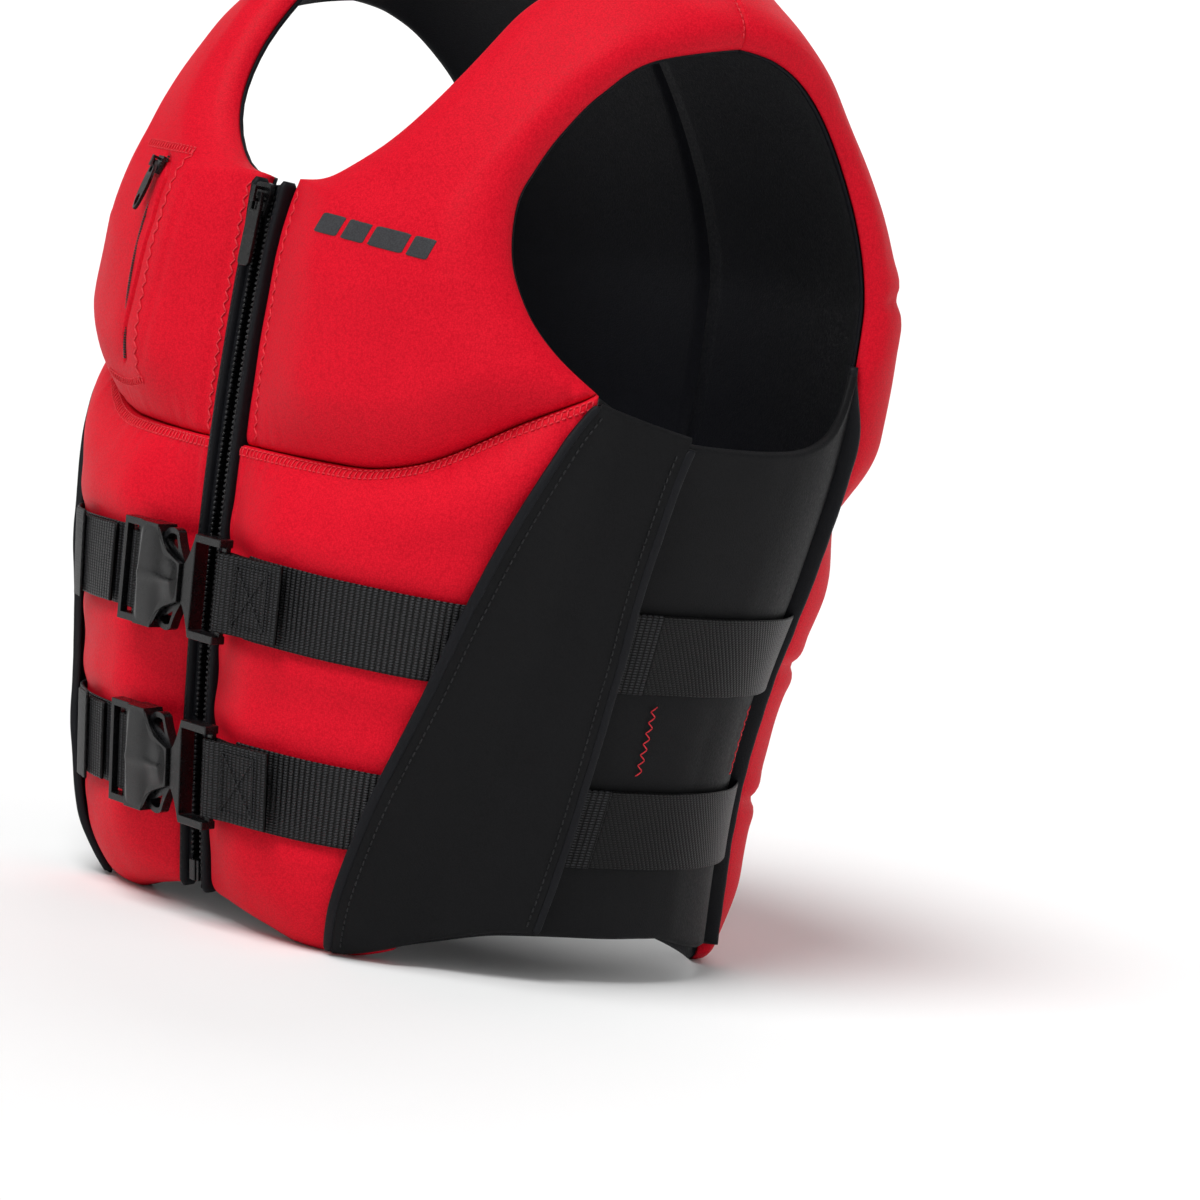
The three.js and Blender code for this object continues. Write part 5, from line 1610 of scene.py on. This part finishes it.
class JacketSizes(bpy.types.PropertyGroup):
    """Sizes of the cloth, the sewing and the mouldings"""

    unevenness: FloatProperty(name="Unevenness", description="How far the pads' cloth waves in and out",
                              unit="LENGTH", min=0, precision=5, default=0.00045)
    gathering: FloatProperty(name="Gathering", description="How strongly the seams gather the pads' cloth",
                             subtype="FACTOR", min=0, max=2, default=1)
    thread: FloatProperty(name="Thread", description="Thickness of the sewing thread, as a share of its own",
                          subtype="FACTOR", min=0.2, max=3, default=1)
    rounding: FloatProperty(name="Edge rounding", subtype="FACTOR", min=0.1, max=1, default=1,
                            description="Rounding of the mouldings' edges, as a share of its own")


class JacketStage(bpy.types.PropertyGroup):
    """Camera and lights"""

    distance: FloatProperty(name="Distance", description="From the camera to the jacket",
                            unit="LENGTH", default=2.7)
    lens: FloatProperty(name="Lens", description="Focal length in millimetres", unit="CAMERA", default=166.9)
    side_aim: FloatProperty(name="Aim sideways", default=125 / 1200, subtype="FACTOR", min=-0.5, max=0.5,
                            description="How far right of the jacket the camera looks, in frame widths")
    up_aim: FloatProperty(name="Aim upwards", default=-100 / 1200, subtype="FACTOR", min=-0.5, max=0.5,
                          description="How far above the jacket the camera looks, in frame widths")
    light: FloatProperty(name="Light", description="Strength of the key light, in watts on each square metre",
                         default=2.9)
    air: FloatProperty(name="Air", description="Strength of the even light from all round", default=0.17)


class JACKET_OT_pads(bpy.types.Operator):
    """Build the chest, belly and back pads"""

    bl_idname = "jacket.pads"
    bl_label = "Red pads"

    def execute(self, context):
        build_pads()
        return {"FINISHED"}


class JACKET_OT_linings(bpy.types.Operator):
    """Build the dark linings behind the pads"""

    bl_idname = "jacket.linings"
    bl_label = "Linings"

    def execute(self, context):
        build_linings()
        return {"FINISHED"}


class JACKET_OT_side_panels(bpy.types.Operator):
    """Build the stretch panels under the arms"""

    bl_idname = "jacket.side_panels"
    bl_label = "Side panels"

    def execute(self, context):
        build_side_panels()
        return {"FINISHED"}


class JACKET_OT_wings(bpy.types.Operator):
    """Build the side wings with their folded edge tapes"""

    bl_idname = "jacket.wings"
    bl_label = "Wings"

    def execute(self, context):
        build_wings()
        return {"FINISHED"}


class JACKET_OT_front_zip(bpy.types.Operator):
    """Build the zip, its edge tapes, slider and pull"""

    bl_idname = "jacket.front_zip"
    bl_label = "Front zip"

    def execute(self, context):
        build_front_zip()
        return {"FINISHED"}


class JACKET_OT_pocket(bpy.types.Operator):
    """Build the pocket's zip and lining"""

    bl_idname = "jacket.pocket"
    bl_label = "Pocket"

    def execute(self, context):
        build_pocket()
        return {"FINISHED"}


class JACKET_OT_straps(bpy.types.Operator):
    """Build the webbing straps, tails and keepers"""

    bl_idname = "jacket.straps"
    bl_label = "Straps"

    def execute(self, context):
        build_straps()
        return {"FINISHED"}


class JACKET_OT_buckles(bpy.types.Operator):
    """Build the side-release buckles and the webbing through them"""

    bl_idname = "jacket.buckles"
    bl_label = "Buckles"

    def execute(self, context):
        build_buckles()
        return {"FINISHED"}


class JACKET_OT_sewing(bpy.types.Operator):
    """Build every visible line of stitches"""

    bl_idname = "jacket.sewing"
    bl_label = "Sewing"

    def execute(self, context):
        build_sewing()
        return {"FINISHED"}


class JACKET_OT_chest_print(bpy.types.Operator):
    """Build the plain bar printed on the left chest"""

    bl_idname = "jacket.chest_print"
    bl_label = "Chest print"

    def execute(self, context):
        build_print()
        return {"FINISHED"}


class JACKET_OT_stage(bpy.types.Operator):
    """Build the floor, the lights and the camera"""

    bl_idname = "jacket.stage"
    bl_label = "Stage"

    def execute(self, context):
        build_stage()
        return {"FINISHED"}


OPERATORS = (JACKET_OT_pads, JACKET_OT_linings, JACKET_OT_side_panels, JACKET_OT_wings,
             JACKET_OT_front_zip, JACKET_OT_pocket, JACKET_OT_straps, JACKET_OT_buckles,
             JACKET_OT_sewing, JACKET_OT_chest_print, JACKET_OT_stage)


class JACKET_PT_panel(bpy.types.Panel):
    """Lists the jacket's pieces and settings"""

    bl_label = "Life Jacket"
    bl_idname = "JACKET_PT_panel"
    bl_space_type = "VIEW_3D"
    bl_region_type = "UI"
    bl_category = "Life Jacket"

    def draw(self, context):
        for name in SETTINGS:
            settings = getattr(context.scene, name)
            for key in settings.__annotations__:
                self.layout.prop(settings, key)
        for made in OPERATORS:
            self.layout.operator(made.bl_idname)


SETTINGS = {"jacket_colours": JacketColours, "jacket_sizes": JacketSizes, "jacket_stage": JacketStage}
CLASSES = (*SETTINGS.values(), *OPERATORS, JACKET_PT_panel)


def register():
    """Registers the classes and gives the scene its settings."""
    for made in CLASSES:
        bpy.utils.register_class(made)
    for key, settings in SETTINGS.items():
        setattr(bpy.types.Scene, key, PointerProperty(type=settings))


def unregister():
    """Takes the settings and the classes away again."""
    for key in SETTINGS:
        delattr(bpy.types.Scene, key)
    for made in reversed(CLASSES):
        bpy.utils.unregister_class(made)


def main():
    """Builds every piece in order."""
    register()
    bpy.ops.jacket.pads()
    bpy.ops.jacket.linings()
    bpy.ops.jacket.side_panels()
    bpy.ops.jacket.wings()
    bpy.ops.jacket.front_zip()
    bpy.ops.jacket.pocket()
    bpy.ops.jacket.straps()
    bpy.ops.jacket.buckles()
    bpy.ops.jacket.sewing()
    bpy.ops.jacket.chest_print()
    bpy.ops.jacket.stage()


if __name__ == "__main__":
    main()
